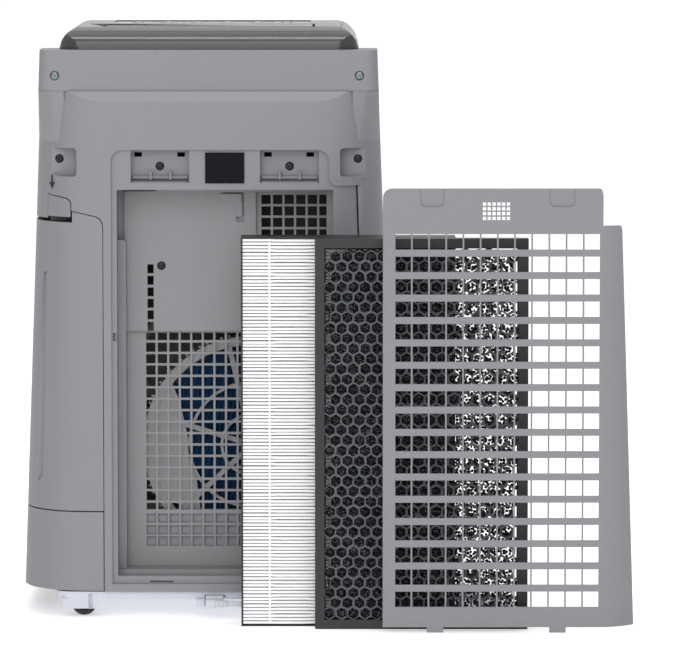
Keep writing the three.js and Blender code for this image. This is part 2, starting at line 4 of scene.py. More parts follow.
import bpy
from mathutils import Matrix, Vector


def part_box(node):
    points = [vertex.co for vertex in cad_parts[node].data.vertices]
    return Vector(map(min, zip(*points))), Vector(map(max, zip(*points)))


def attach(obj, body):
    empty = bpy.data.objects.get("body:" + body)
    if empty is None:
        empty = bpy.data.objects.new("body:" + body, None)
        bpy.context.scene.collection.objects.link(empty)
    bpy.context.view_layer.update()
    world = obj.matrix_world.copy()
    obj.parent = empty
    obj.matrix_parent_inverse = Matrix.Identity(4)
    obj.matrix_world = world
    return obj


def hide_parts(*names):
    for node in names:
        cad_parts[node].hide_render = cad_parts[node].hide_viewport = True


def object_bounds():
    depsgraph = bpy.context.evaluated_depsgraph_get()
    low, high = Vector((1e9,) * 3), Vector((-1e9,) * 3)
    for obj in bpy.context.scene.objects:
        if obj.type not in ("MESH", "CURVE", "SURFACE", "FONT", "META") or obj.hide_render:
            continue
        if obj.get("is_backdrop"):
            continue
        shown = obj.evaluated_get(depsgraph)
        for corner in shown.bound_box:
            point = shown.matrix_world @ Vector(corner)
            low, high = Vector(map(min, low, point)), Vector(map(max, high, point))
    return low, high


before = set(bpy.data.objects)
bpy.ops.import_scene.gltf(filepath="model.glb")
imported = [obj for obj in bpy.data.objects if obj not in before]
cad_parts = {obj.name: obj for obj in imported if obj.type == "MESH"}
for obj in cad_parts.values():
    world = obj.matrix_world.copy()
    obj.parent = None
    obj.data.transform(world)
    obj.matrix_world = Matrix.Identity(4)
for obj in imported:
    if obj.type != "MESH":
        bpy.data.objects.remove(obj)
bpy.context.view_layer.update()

# The set is laid out in millimetres from a point on the floor under the middle of the cabinet.
upperLow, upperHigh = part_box("upper_cabinet")
midX = (upperLow.x + upperHigh.x) / 2
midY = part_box("rear_cabinet")[0].y + 0.150
cabinet = {
    "half": 210.5, "rear": -150, "front": 136, "creaseX": 183, "creaseY": -133, "taper": 0.000172,
    "bottom": 30, "ledge": 589, "top": 634, "upperRear": -140, "splitY": -131, "wall": 3,
}


def spot(x, y, z):
    return Vector((midX + x / 1000, midY + y / 1000, z / 1000))


print("frame loaded")

# camera
view = {"x": 146, "back": 5450, "height": 857, "tilt": 84.47, "lens": 261}
cameraData = bpy.data.cameras.new("camera")
cameraData.lens = view["lens"]
cameraData.sensor_width = 36
cameraData.clip_end = 100
camera = bpy.data.objects.new("camera", cameraData)
camera.location = spot(view["x"], cabinet["rear"] - view["back"], view["height"])
camera.rotation_euler = (math.radians(view["tilt"]), 0, 0)
bpy.context.scene.collection.objects.link(camera)
bpy.context.scene.camera = camera
bpy.context.scene.view_settings.view_transform = "Standard"


# finishes
class Wire:
    # an output socket; arithmetic on it adds Math nodes
    def __init__(self, finish, socket):
        self.finish = finish
        self.socket = socket

    def maths(self, operation, *values):
        return self.finish.node("ShaderNodeMath", {"operation": operation}, dict(enumerate(values)))

    def __add__(self, other):
        return self.maths("ADD", self, other)

    def __mul__(self, other):
        return self.maths("MULTIPLY", self, other)

    __radd__ = __add__
    __rmul__ = __mul__


class Finish:
    def __init__(self, name, **fixed):
        self.material = bpy.data.materials.new(name)
        self.material.use_nodes = True
        self.tree = self.material.node_tree
        self.shader = self.tree.nodes["Principled BSDF"]
        for key, value in fixed.items():
            self.shader.inputs[key.replace("_", " ")].default_value = value
        self.place = self.node("ShaderNodeTexCoord", output="Object")

    def node(self, kind, settings=None, inputs=None, output=0):
        made = self.tree.nodes.new(kind)
        for key, value in (settings or {}).items():
            if key == "stops":
                for stop, (position, colour) in zip(made.color_ramp.elements, value):
                    stop.position = position
                    stop.color = colour
            else:
                setattr(made, key, value)
        for key, value in (inputs or {}).items():
            if isinstance(value, Wire):
                self.tree.links.new(value.socket, made.inputs[key])
            else:
                made.inputs[key].default_value = value
        return Wire(self, made.outputs[output])

    def feed(self, key, wire):
        self.tree.links.new(wire.socket, self.shader.inputs[key])

    def noise(self, scale, detail=3, stretch=None):
        vector = self.place
        if stretch:
            vector = self.node("ShaderNodeMapping", {}, {"Vector": vector, "Scale": stretch})
        return self.node("ShaderNodeTexNoise", {}, {"Vector": vector, "Scale": scale, "Detail": detail})

    def between(self, mask, first, second):
        return self.node("ShaderNodeMix", {"data_type": "RGBA"}, {0: mask, 6: first, 7: second}, 2)

    def tint(self, mask, base, swing):
        # the base colour, a little darker and lighter as the mask goes from 0 to 1
        dark = [c * (1 - swing) for c in base[:3]] + [1]
        light = [min(1, c * (1 + swing)) for c in base[:3]] + [1]
        self.feed("Base Color", self.between(mask, dark, light))

    def bump(self, height, depth, strength):
        made = self.node("ShaderNodeBump", {}, {"Height": height, "Distance": depth, "Strength": strength})
        self.feed("Normal", made)


finishes = {}


def moulded(name, colour, rough, grain=900, depth=0.00008, swing=0.05, metal=0.0, coat=0.0, strength=0.35):
    # moulded plastic or plain metal: fine grain, faint cloudiness and a patchy sheen
    made = Finish(name, Metallic=metal, Coat_Weight=coat, Coat_Roughness=0.08)
    cloud = made.noise(9, 4)
    fine = made.noise(grain, 2)
    speck = made.noise(2400, 1)
    made.tint(cloud * 0.6 + speck * 0.4, colour, swing)
    made.feed("Roughness", rough - 0.07 + 0.10 * cloud + 0.06 * fine)
    made.bump(fine, depth, strength)
    finishes[name] = made.material
    return made


moulded("cabinetGrey", (0.222, 0.221, 0.236), 0.52, swing=0.04)
moulded("lidGrey", (0.048, 0.048, 0.046), 0.24, grain=300, depth=0.00002, strength=0.08)
moulded("baseWhite", (0.56, 0.57, 0.65), 0.45)
moulded("grilleGrey", (0.250, 0.249, 0.262), 0.50, swing=0.04)
moulded("innerWhite", (0.36, 0.36, 0.37), 0.42)
moulded("blackPlastic", (0.012, 0.012, 0.014), 0.42, depth=0.00005)
moulded("controlGloss", (0.014, 0.014, 0.017), 0.12, grain=120, depth=0.00001, coat=1.0)
moulded("casterRubber", (0.018, 0.018, 0.019), 0.55, grain=500, depth=0.0001)
moulded("blackScrew", (0.02, 0.02, 0.022), 0.30, grain=1500, metal=0.6)
moulded("capBlue", (0.03, 0.11, 0.30), 0.40)
moulded("boardGreen", (0.015, 0.12, 0.05), 0.30)
moulded("cordGrey", (0.60, 0.61, 0.66), 0.42, grain=1200)
moulded("housingBlack", (0.010, 0.010, 0.012), 0.5, depth=0.00005)


def brushed(name, colour, rough, stretch):
    made = Finish(name, Metallic=1.0)
    streak = made.noise(60, 4, stretch)
    cloud = made.noise(150, 2)
    made.tint(streak, colour, 0.14)
    made.feed("Roughness", rough + 0.16 * streak + 0.06 * cloud)
    made.bump(streak, 0.00005, 0.3)
    finishes[name] = made.material


brushed("screwZinc", (0.24, 0.28, 0.28, 1), 0.42, (1, 12, 1))
brushed("motorSteel", (0.56, 0.57, 0.58, 1), 0.26, (1, 24, 1))


def foam(name, colour, cell, rough):
    made = Finish(name, Specular_IOR_Level=0.1)
    pores = made.node("ShaderNodeTexVoronoi", {}, {"Vector": made.place, "Scale": cell})
    fine = made.noise(cell * 3, 2)
    made.tint(pores * 0.7 + fine * 0.5, colour, 0.6)
    made.feed("Roughness", rough + 0.1 * fine)
    made.bump(pores + fine * 0.4, 0.0006, 0.9)
    finishes[name] = made.material


foam("foamBlack", (0.010, 0.010, 0.012), 900, 0.85)


def paper(name):
    # folded fibre sheet: soft white, faint fibres that run across the folds
    made = Finish(name, Roughness=0.9)
    fibre = made.noise(700, 4, (1, 1, 6))
    cloud = made.noise(30, 3)
    made.tint(fibre * 0.6 + cloud * 0.4, (0.86, 0.865, 0.87), 0.07)
    made.feed("Roughness", 0.82 + 0.12 * fibre)
    made.bump(fibre, 0.0002, 0.5)
    finishes[name] = made.material


paper("filterPaper")


def wetMedia(name):
    made = Finish(name, Roughness=0.75)
    fibre = made.noise(420, 4, (3, 3, 1))
    cloud = made.noise(40, 3)
    mask = fibre * 0.6 + cloud * 0.5
    made.feed("Base Color", made.between(mask, (0.003, 0.022, 0.07, 1), (0.012, 0.11, 0.26, 1)))
    made.feed("Roughness", 0.6 + 0.25 * fibre)
    made.bump(fibre, 0.0004, 0.8)
    finishes[name] = made.material


wetMedia("mediaBlue")


def carbon(name, colour, glint):
    made = Finish(name)
    grit = made.noise(700, 4)
    cloud = made.noise(90, 2)
    made.tint(grit, colour, 0.5)
    made.feed("Roughness", glint + 0.35 * grit + 0.1 * cloud)
    made.bump(grit, 0.0005, 0.8)
    finishes[name] = made.material


carbon("carbonRim", (0.075, 0.08, 0.086), 0.35)
carbon("carbonGrain", (0.014, 0.016, 0.02), 0.22)


def paint(piece, name):
    piece.data.materials.clear()
    piece.data.materials.append(finishes[name])


print("finishes made:", len(finishes))


# modelling helpers
def setMode(mode):
    bpy.ops.object.mode_set(mode=mode)


def clearSelection():
    active = bpy.context.view_layer.objects.active
    if active and active.mode != "OBJECT":
        setMode("OBJECT")
    bpy.ops.object.select_all(action="DESELECT")


def pick(*pieces):
    clearSelection()
    for piece in pieces:
        piece.select_set(True)
    bpy.context.view_layer.objects.active = pieces[0]


def edit(piece, mode="FACE", every=False):
    pick(piece)
    setMode("EDIT")
    bpy.ops.mesh.select_mode(type=mode)
    bpy.ops.mesh.select_all(action="SELECT" if every else "DESELECT")
    if not every:
        setMode("OBJECT")


def named(name):
    piece = bpy.context.object
    piece.name = name
    piece.data.name = name
    bpy.ops.object.transform_apply(location=True, rotation=True, scale=True)
    return piece


def block(name, x0, x1, y0, y1, z0, z1):
    clearSelection()
    size = ((x1 - x0) / 1000, (y1 - y0) / 1000, (z1 - z0) / 1000)
    middle = spot((x0 + x1) / 2, (y0 + y1) / 2, (z0 + z1) / 2)
    bpy.ops.mesh.primitive_cube_add(size=1, location=middle, scale=size)
    return named(name)


def rod(name, centre, radius, length, axis="y", sides=32, turn=0.0):
    clearSelection()
    tip = {"x": (0, math.pi / 2, 0), "y": (math.pi / 2, turn, 0), "z": (0, 0, turn)}[axis]
    bpy.ops.mesh.primitive_cylinder_add(vertices=sides, radius=radius / 1000, depth=length / 1000,
                                        location=spot(*centre), rotation=tip)
    return named(name)


def slab(name, outline, low, high, axis="z"):
    # a flat outline pushed along an axis: z takes (x, y) points, y takes (x, z) and x takes (y, z)
    clearSelection()
    bpy.ops.mesh.primitive_circle_add(vertices=len(outline), radius=0.1, fill_type="NGON")
    piece = named(name)
    for vertex, (u, v) in zip(piece.data.vertices, outline):
        vertex.co = {"z": spot(u, v, low), "y": spot(u, low, v), "x": spot(low, u, v)}[axis]
    push = Vector([(high - low) / 1000 if axis == letter else 0 for letter in "xyz"])
    edit(piece, every=True)
    bpy.ops.mesh.extrude_region_move(TRANSFORM_OT_translate={"value": push})
    bpy.ops.mesh.select_all(action="SELECT")
    bpy.ops.mesh.normals_make_consistent(inside=False)
    setMode("OBJECT")
    return piece


def finishWith(piece, kind, **settings):
    modifier = piece.modifiers.new(kind.lower(), kind)
    for key, value in settings.items():
        setattr(modifier, key, value)
    pick(piece)
    bpy.ops.object.modifier_apply(modifier=modifier.name)


def carve(piece, *cutters, how="DIFFERENCE"):
    for cutter in cutters:
        finishWith(piece, "BOOLEAN", object=cutter, operation=how, solver="EXACT")
        bpy.data.objects.remove(cutter)
    return piece


def repeat(piece, count, step):
    finishWith(piece, "ARRAY", count=count, use_relative_offset=False, use_constant_offset=True,
               constant_offset_displace=[s / 1000 for s in step])
    return piece


def soften(piece, width, segments=2, angle=30, weld=True):
    # small rounds on the hard edges, then smooth shading that keeps the flats flat
    if weld:
        edit(piece, "VERT", every=True)
        bpy.ops.mesh.remove_doubles(threshold=0.00002)
        bpy.ops.mesh.dissolve_limited(angle_limit=math.radians(0.6))
        setMode("OBJECT")
    finishWith(piece, "BEVEL", width=width / 1000, segments=segments, limit_method="ANGLE",
               angle_limit=math.radians(angle), use_clamp_overlap=True)
    pick(piece)
    bpy.ops.object.shade_smooth_by_angle(angle=math.radians(angle + 8))
    finishWith(piece, "WEIGHTED_NORMAL", keep_sharp=True)
    return piece


def joined(name, *pieces):
    pick(*pieces)
    bpy.ops.object.join()
    piece = bpy.context.object
    piece.name = name
    piece.data.name = name
    return piece


def place(piece, body, finish, slot, *nodes):
    paint(piece, finish)
    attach(piece, body)
    if nodes:
        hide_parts(*nodes)
    return piece


def arc(x, y, radius, start, end, steps):
    turns = [math.radians(start + (end - start) * i / steps) for i in range(steps + 1)]
    return [(x + radius * math.cos(t), y + radius * math.sin(t)) for t in turns]


def roundedBox(x0, x1, y0, y1, radius, steps=5):
    u0, u1, v0, v1 = x0 + radius, x1 - radius, y0 + radius, y1 - radius
    return (arc(u1, v0, radius, -90, 0, steps) + arc(u1, v1, radius, 0, 90, steps)
            + arc(u0, v1, radius, 90, 180, steps) + arc(u0, v0, radius, 180, 270, steps))


def bend(start, control, end, steps):
    # points after the start on a quadratic curve
    made = []
    for i in range(1, steps + 1):
        t, u = i / steps, 1 - i / steps
        made.append(tuple(u * u * a + 2 * t * u * b + t * t * c for a, b, c in zip(start, control, end)))
    return made


def mirrored(half):
    return half + [(-x, y) for x, y in reversed(half[1:-1])]


def cabinetPlan(inset=0, steps=14):
    wide = cabinet["half"] - inset
    rear, front = cabinet["rear"] + inset, cabinet["front"] - inset
    crease = (cabinet["creaseX"] - inset * 0.8, cabinet["creaseY"] + inset * 0.7)
    half = [(0, rear), (125, rear)]
    half += bend((125, rear), (168 - inset * 0.4, rear), crease, steps)
    half += bend(crease, (wide - 4, -116), (wide, -80), steps)
    half += [(wide, 78)]
    half += bend((wide, 78), (wide, front), (wide - 52, front), steps)
    half += [(0, front)]
    return mirrored(half)


def upperPlan(inset=0, steps=10):
    wide = cabinet["half"] - inset
    rear, front = cabinet["upperRear"] + inset, cabinet["front"] - inset
    half = [(0, rear), (wide - 17, rear)]
    half += bend((wide - 17, rear), (wide, rear), (wide, rear + 17), steps)
    half += [(wide, 78)]
    half += bend((wide, 78), (wide, front), (wide - 52, front), steps)
    half += [(0, front)]
    return mirrored(half)


def narrowed(piece):
    # the cabinet draws in evenly towards its top
    for vertex in piece.data.vertices:
        share = 1 - cabinet["taper"] * vertex.co.z * 1000
        vertex.co.x = midX + (vertex.co.x - midX) * share
    return piece


def cabinetBlock(name, inset, z0, z1):
    return narrowed(slab(name, cabinetPlan(inset), z0, z1))


def faceRear(piece):
    if piece.data.polygons[0].normal.y > 0:
        edit(piece, every=True)
        bpy.ops.mesh.flip_normals()
        setMode("OBJECT")
    return piece


def lattice(name, xs, zs, y, isOpen):
    # a flat sheet of cells with some left out, facing the rear
    clearSelection()
    bpy.ops.mesh.primitive_grid_add(x_subdivisions=len(xs) - 1, y_subdivisions=len(zs) - 1, size=1)
    piece = named(name)
    for i, vertex in enumerate(piece.data.vertices):
        vertex.co = spot(xs[i % len(xs)], y, zs[i // len(xs)])
    edit(piece)
    for i, face in enumerate(piece.data.polygons):
        column, row = i % (len(xs) - 1), i // (len(xs) - 1)
        face.select = isOpen(column, row)
    setMode("EDIT")
    bpy.ops.mesh.delete(type="FACE")
    bpy.ops.mesh.select_all(action="SELECT")
    bpy.ops.mesh.normals_make_consistent(inside=False)
    setMode("OBJECT")
    return faceRear(piece)


def sideCut(side, near, far, name, y0, y1, z0, z1):
    return block(name, min(near * side, far * side), max(near * side, far * side), y0, y1, z0, z1)


def holes(first, pitch, width, count):
    edges = []
    for i in range(count):
        edges += [first + i * pitch, first + i * pitch + width]
    return edges


print("helpers ready")

# power cord
cord = {"radius": 3.4, "pitch": 6.9, "floor": 4.6, "coilX": 287, "coilY": -112, "coilStart": 47.8,
        "perTurn": 36, "turns": 7.25}
runPoints = [
    (21, -157.6, 17.9), (32, -157.6, 17.7), (46, -157.8, 16.3), (62, -158.5, 13.2), (80, -159.6, 9.2),
    (98, -160.6, 6), (118, -161.2, 4.2), (140, -161.5, 3.8), (165, -161.5, 3.8), (190, -161.4, 3.8),
    (215, -161.0, 3.9), (238, -160.5, 4.2), (262, -160, 4.6),
]
tailPoints = [
    (336.5, -98, 10.6), (336.5, -83.5, 8.6), (336, -76, 7.0), (333.5, -67, 5.2), (328.5, -58.5, 4.4),
    (321.5, -51.8, 4.2), (313.5, -48, 5), (305.5, -46.2, 6.8), (297.8, -46, 8),
]


def coilPoint(t):
    pitch, start, low = cord["pitch"], cord["coilStart"], cord["floor"]
    s = t % 1
    up, over = math.sin(math.pi * s / 2), math.cos(math.pi * s / 2)
    if t < 3:
        radius, height = start - pitch * t, low
    elif t < 4:  # climbs round the inside of the last low turn
        radius, height = start - pitch * (2 + s + over), low + pitch * up
    elif t < 5:  # steps over it
        radius, height = start - pitch * (2 + s + over - up), low + pitch * (up + over)
    else:
        radius, height = start + pitch * (t - 7), low + pitch
    turn = 2 * math.pi * t - math.pi / 2
    return cord["coilX"] + radius * math.cos(turn), cord["coilY"] + radius * math.sin(turn), height


def smoothLine(points, steps=6):
    # a smooth curve through all the points
    made = []
    for i in range(len(points) - 1):
        p0 = Vector(points[max(i - 1, 0)])
        p1, p2 = Vector(points[i]), Vector(points[i + 1])
        p3 = Vector(points[min(i + 2, len(points) - 1)])
        for j in range(steps):
            t = j / steps
            made.append(tuple(0.5 * (2 * p1 + (p2 - p0) * t + (2 * p0 - 5 * p1 + 4 * p2 - p3) * t * t
                                     + (3 * p1 - p0 - 3 * p2 + p3) * t ** 3)))
    return made + [tuple(points[-1])]


coilPoints = [coilPoint(i / cord["perTurn"]) for i in range(int(cord["turns"] * cord["perTurn"]) + 1)]
cordLine = [spot(*p) for p in smoothLine(runPoints) + coilPoints + smoothLine(tailPoints)]
cordCurve = bpy.data.curves.new("mains_cord", "CURVE")
cordCurve.dimensions = "3D"
cordCurve.bevel_depth = cord["radius"] / 1000
cordCurve.bevel_resolution = 4
cordCurve.use_fill_caps = True
spline = cordCurve.splines.new("POLY")
spline.points.add(len(cordLine) - 1)
for point, co in zip(spline.points, cordLine):
    point.co = (*co, 1)
spline.use_smooth = True
mainsCord = bpy.data.objects.new("mains_cord", cordCurve)
bpy.context.scene.collection.objects.link(mainsCord)
place(mainsCord, "cabinet", "cordGrey", "cord_grey", "power_cord", "cord_coil", "cord_tail")


def turned(name, centre, axis, profile, sides=32):
    # a profile of (radius, height) points turned about an axis through the centre
    clearSelection()
    bpy.ops.mesh.primitive_grid_add(x_subdivisions=sides, y_subdivisions=len(profile) - 1, size=1)
    piece = named(name)
    for i, vertex in enumerate(piece.data.vertices):
        turn = 2 * math.pi * (i % (sides + 1)) / sides
        radius, height = profile[i // (sides + 1)]
        u, v = radius * math.cos(turn), radius * math.sin(turn)
        x, y, z = {"x": (height, u, v), "y": (v, height, u), "z": (u, v, height)}[axis]
        vertex.co = spot(centre[0] + x, centre[1] + y, centre[2] + z)
    edit(piece, "VERT", every=True)
    bpy.ops.mesh.remove_doubles(threshold=0.000005)
    bpy.ops.mesh.normals_make_consistent(inside=False)
    setMode("OBJECT")
    return piece


def sleeveProfile():
    # a tapered sleeve with four shallow ring grooves
    made = [(0, -25), (4.6, -25), (5, -24.4), (5, -16)]
    for i in range(5):
        start, radius = -15.4 + 3 * i, 4.85 - 0.16 * i
        groove = radius - 0.9
        made += [(radius, start), (radius - 0.05, start + 1.7), (groove, start + 1.9), (groove, start + 2.8)]
    return made + [(4.05, -0.5), (3.6, -0.1), (0, -0.1)]


sleeve = turned("cord_sleeve", (21, -157.6, 17.9), "x", sleeveProfile(), 24)
foot = block("cord_foot", -4, 12, -157, -139, 15.3, 20.5)
plate = block("cord_plate", -4, 15.7, -151, -139, 15.3, 25.6)
gland = soften(joined("cord_relief", sleeve, foot, plate), 0.4, 2, 40)
place(gland, "cabinet", "cordGrey", "cord_grey", "cord_gland")

plug = {"x": 297, "y": -46, "length": 34, "width": 25, "height": 16, "narrowing": 0.42}
plugSide = plug["width"] / 2
plugPlan = roundedBox(plug["x"] - plug["length"], plug["x"], plug["y"] - plugSide, plug["y"] + plugSide, 6)
plugBody = slab("plug_grip", plugPlan, 0, plug["height"])
plugEnd = spot(plug["x"] - plug["length"], plug["y"], 0)
for vertex in plugBody.data.vertices:  # the grip narrows towards the cord
    share = (vertex.co.x - plugEnd.x) * 1000 / plug["length"]
    vertex.co.y = plugEnd.y + (vertex.co.y - plugEnd.y) * (1 - plug["narrowing"] * share * share)
ribs = [block("rib", 278 + 4 * i, 279.6 + 4 * i, -70, -20, 14.8, 20) for i in range(4)]
carve(plugBody, *ribs)
soften(plugBody, 1.4, 3, 40)
place(plugBody, "cabinet", "cordGrey", "cord_grey", "plug_body")
strap = {"inner": 22.4, "turn": 20}
tie = carve(block("cord_strap", 0, 32.4, -3, 3, 0.2, 17.9), block("strap_gap", 1.2, 31.2, -6, 6, 0.9, 17.2))
turn = math.radians(strap["turn"])
for vertex in tie.data.vertices:  # swung round the coil's centre to its place
    x, y = (vertex.co.x - midX) * 1000 + strap["inner"], (vertex.co.y - midY) * 1000
    vertex.co = spot(cord["coilX"] + x * math.cos(turn) - y * math.sin(turn),
                     cord["coilY"] + x * math.sin(turn) + y * math.cos(turn), vertex.co.z * 1000)
soften(tie, 0.3, 2)
place(tie, "cabinet", "blackPlastic", "black_plastic", "cord_tie")
spot(*runPoints[0])

# floor and light
clearSelection()
bpy.ops.mesh.primitive_plane_add(size=80, location=(0, 10, 0))
floor = named("floor")
floorGlow = 0.38
floorFinish = Finish("floorWhite", Roughness=0.7, Emission_Color=(1, 1, 1, 1), Emission_Strength=floorGlow)
floorTones = ((0.93, 0.93, 0.935, 1), (0.95, 0.95, 0.955, 1))
floorFinish.feed("Base Color", floorFinish.between(floorFinish.noise(3, 2), *floorTones))
floor.data.materials.append(floorFinish.material)
floor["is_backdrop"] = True

lights = {
    "frontSoft": {"at": (-0.5, -3.4, 1.9), "size": 2.2, "deep": 2.2, "watts": 42},
    "topStrip": {"at": (0.0, -0.1, 2.6), "size": 1.6, "deep": 0.35, "watts": 20},
}
for name, facts in lights.items():
    lamp = bpy.data.lights.new(name, "AREA")
    lamp.energy = facts["watts"]
    lamp.shape = "RECTANGLE"
    lamp.size = facts["size"]
    lamp.size_y = facts["deep"]
    shade = bpy.data.objects.new(name, lamp)
    shade.location = facts["at"]
    shade.rotation_euler = (Vector((0, 0, 0.35)) - Vector(facts["at"])).to_track_quat("-Z", "Y").to_euler()
    bpy.context.scene.collection.objects.link(shade)
world = bpy.data.worlds.new("studio")
world.use_nodes = True
tree = world.node_tree
direction, split, sideways, shadeRamp = [
    tree.nodes.new("ShaderNode" + kind) for kind in ("TexCoord", "SeparateXYZ", "Math", "ValToRGB")]
sideways.operation = "ABSOLUTE"
studioTones = [(0.3, (1, 1, 1, 1)), (0.8, (0.12, 0.12, 0.13, 1))]  # darker to the left and right
for stop, (position, tone) in zip(shadeRamp.color_ramp.elements, studioTones):
    stop.position = position
    stop.color = tone
tree.links.new(direction.outputs["Generated"], split.inputs[0])
tree.links.new(split.outputs["X"], sideways.inputs[0])
tree.links.new(sideways.outputs[0], shadeRamp.inputs[0])
tree.links.new(shadeRamp.outputs[0], tree.nodes["Background"].inputs[0])
tree.nodes["Background"].inputs[1].default_value = 1.0
bpy.context.scene.world = world
print("stage made")

# upper cabinet
shell = slab("upper_body", upperPlan(0), cabinet["ledge"], cabinet["top"])
narrowed(shell)
inside = narrowed(slab("inside", upperPlan(4), cabinet["ledge"] - 5, cabinet["top"] - 3))


def deckSlope(drop, x0, x1):
    # the deck falls away towards the front, beside the lid
    return slab("deck_slope", [(-85, 634.5 - drop), (145, 621.5 - drop), (145, 660), (-85, 660)], x0, x1, "x")


carve(inside, deckSlope(3, -300, -162.5), deckSlope(3, 162.5, 300))
carve(shell, inside, block("air_hole", -150, 150, -112, 112, 600, 700))
carve(shell, deckSlope(0, -300, -165.5), deckSlope(0, 165.5, 300))
for x in (-170, 167.5):
    carve(shell, rod("screw_seat", (x, -139, 605.7), 5.3, 5, sides=28))
soften(shell, 0.9, 2)
place(shell, "cabinet", "cabinetGrey", "cabinet_grey", "upper_cabinet")

# rear of the main cabinet
bay = {"left": -102, "right": 138.6, "bottom": 47, "top": 479.7, "back": -92}
recess = {"left": -108, "topRight": 134, "bottom": 38.7, "top": 524, "shoulder": 484, "depth": 4,
          "corner": 13}
tank = {"right": -117.5, "front": -36, "bottom": 121, "top": 455, "latchLow": 449, "latchRight": -153,
        "capX": -158, "capY": -92}
pockets = {"finger": [(-86, -21.2), (57.2, 122.8)], "hooks": [-78.3, -30.4, 66, 113], "back": -133,
           "bottom": 487, "sideBack": -126}


def bayOutline(grow):
    return roundedBox(bay["left"] - grow, bay["right"] + grow, bay["bottom"] - grow, bay["top"] + grow, 2, 3)


def recessOutline():
    left, right, r = recess["left"], recess["topRight"], recess["corner"]
    low, high, shoulder = recess["bottom"], recess["top"], recess["shoulder"]
    return ([(left, low), (230, low), (230, shoulder), (right + 9, shoulder)]
            + arc(right + 9, shoulder + 9, 9, -90, -180, 5)
            + arc(right - r, high - r, r, 0, 90, 6) + arc(left + r, high - r, r, 90, 180, 6))


back = cabinetBlock("rear_body", 0, cabinet["bottom"], cabinet["ledge"] - 0.3)
frontPart = block("front_part", -300, 300, cabinet["splitY"] - 0.3, 300, 0, 700)
for side in (-1, 1):  # thick pads stay behind the side pockets
    carve(frontPart, sideCut(side, 145, 320, "pad", -140, -122, 490, 531))
carve(back, frontPart)
sunk = slab("sunk", recessOutline(), -200, -100, "y")
carve(sunk, cabinetBlock("keep", recess["depth"], -1, 701))
carve(back, sunk)
for grow, y0 in ((-0.2, -200), (3.3, -142.4)):  # a thin lip hides the front edge of the bay's own walls
    carve(back, slab("bay_mouth", bayOutline(grow), y0, -100, "y"))
for x0, x1 in pockets["finger"]:
    mouth = roundedBox(x0, x1, pockets["bottom"], recess["top"] - 0.6, 1.5, 3)
    carve(back, slab("pocket", mouth, -160, pockets["back"], "y"))
for x in pockets["hooks"]:
    carve(back, block("hook_slot", x - 4.2, x + 4.2, -160, -120, 515.5, 520.5))
carve(back, block("sensor_window", -3.5, 39.9, -160, -120, 486.7, 520.8))
pocketOutline = ([(230, 497.5), (178, 497.5), (166, 494)] + arc(150, 498, 4, -90, -180, 4)
                 + arc(150, 521.5, 4, 180, 90, 4) + [(170, 525.5), (176, 527.5), (230, 527.5)])
for side in (-1, 1):
    sidePocket = [(side * u, v) for u, v in pocketOutline]
    carve(back, slab("side_pocket", sidePocket, -160, pockets["sideBack"], "y"))
ledge = slab("ledge", [(-170, 576), (-151, 576), (-140.5, 590), (-170, 590)], -300, 300, "x")
carve(back, ledge)


def tankOutline(low, grow=0):
    right = tank["right"] + grow
    return ([(-300, low), (right, low), (right, 438)] + arc(right - 12, 438 + grow, 12, 0, 74, 6)
            + [(-154 + grow, 455.5 + grow)])


def leverOutline(low, grow=0):
    right, high = tank["latchRight"] + grow, 462 + grow
    return ([(-300, low), (right, low), (right, high)] + arc(right - 8, high, 8, 0, 80, 5)
            + [(-176, high + 10.5), (-184, high + 14.5), (-300, high + 16)])


carve(back, slab("tank_space", tankOutline(0, 0.8) + [(-300, 456.3)], -200, -100, "y"),
      slab("lever_space", leverOutline(430, 0.8), -200, -100, "y"))
carve(back, block("slot", -106.4, -102.4, -160, -140, 311, 320))
for x in (-66, 70):
    carve(back, block("tab_slot", x, x + 26, -160, -142, 40.2, 42.2))
soften(back, 0.8, 2)
place(back, "cabinet", "cabinetGrey", "cabinet_grey", "rear_cabinet")
print("rear body made")

body = cabinetBlock("front_body", 0, cabinet["bottom"], cabinet["ledge"] - 0.3)
carve(body, cabinetBlock("hollow", cabinet["wall"], 0, 700),
      block("rear_part", -300, 300, -300, cabinet["splitY"], 0, 700),
      block("tank_part", -300, tank["right"] + 0.6, -300, tank["front"] + 1, 0, 446.7),
      slab("latch_part", leverOutline(121, 0.8), -300, -118, "y"))
for side in (-1, 1):
    carve(body, sideCut(side, 144.7, 300, "pad_part", -200, -121.7, 489.7, 531.3))
soften(body, 0.7, 2)
place(body, "cabinet", "cabinetGrey", "cabinet_grey", "front_cabinet")

# corners that run straight up into the upper cabinet
topRing = upperPlan(0)
wide, front = cabinet["half"] - 0.4, cabinet["front"] - 0.4
half = [(0, -133), (183, -132.6)] + bend((183, -132.6), (wide - 4, -115.8), (wide, -80), 10)
half += [(wide, 78)] + bend((wide, 78), (wide, front), (wide - 51.6, front), 10) + [(0, front)]
lowRing = mirrored(half)


def ringIndex(x, y):
    return min(range(len(topRing)), key=lambda i: (topRing[i][0] - x) ** 2 + (topRing[i][1] - y) ** 2)


for side, word in ((-1, "left"), (1, "right")):
    corner = slab("corner_" + word, topRing, 531, cabinet["ledge"] - 0.3)
    for vertex in corner.data.vertices:
        if vertex.co.z < 0.532:
            match = ringIndex((vertex.co.x - midX) * 1000, (vertex.co.y - midY) * 1000)
            vertex.co = spot(*lowRing[match], 531)
    narrowed(corner)
    carve(corner, sideCut(side, 160, 300, "corner_part", -200, -60, 500, 600), how="INTERSECT")
    carve(corner, cabinetBlock("corner_core", 1.2, 500, 600))
    soften(corner, 0.4, 2, 40)
    place(corner, "cabinet", "cabinetGrey", "cabinet_grey")

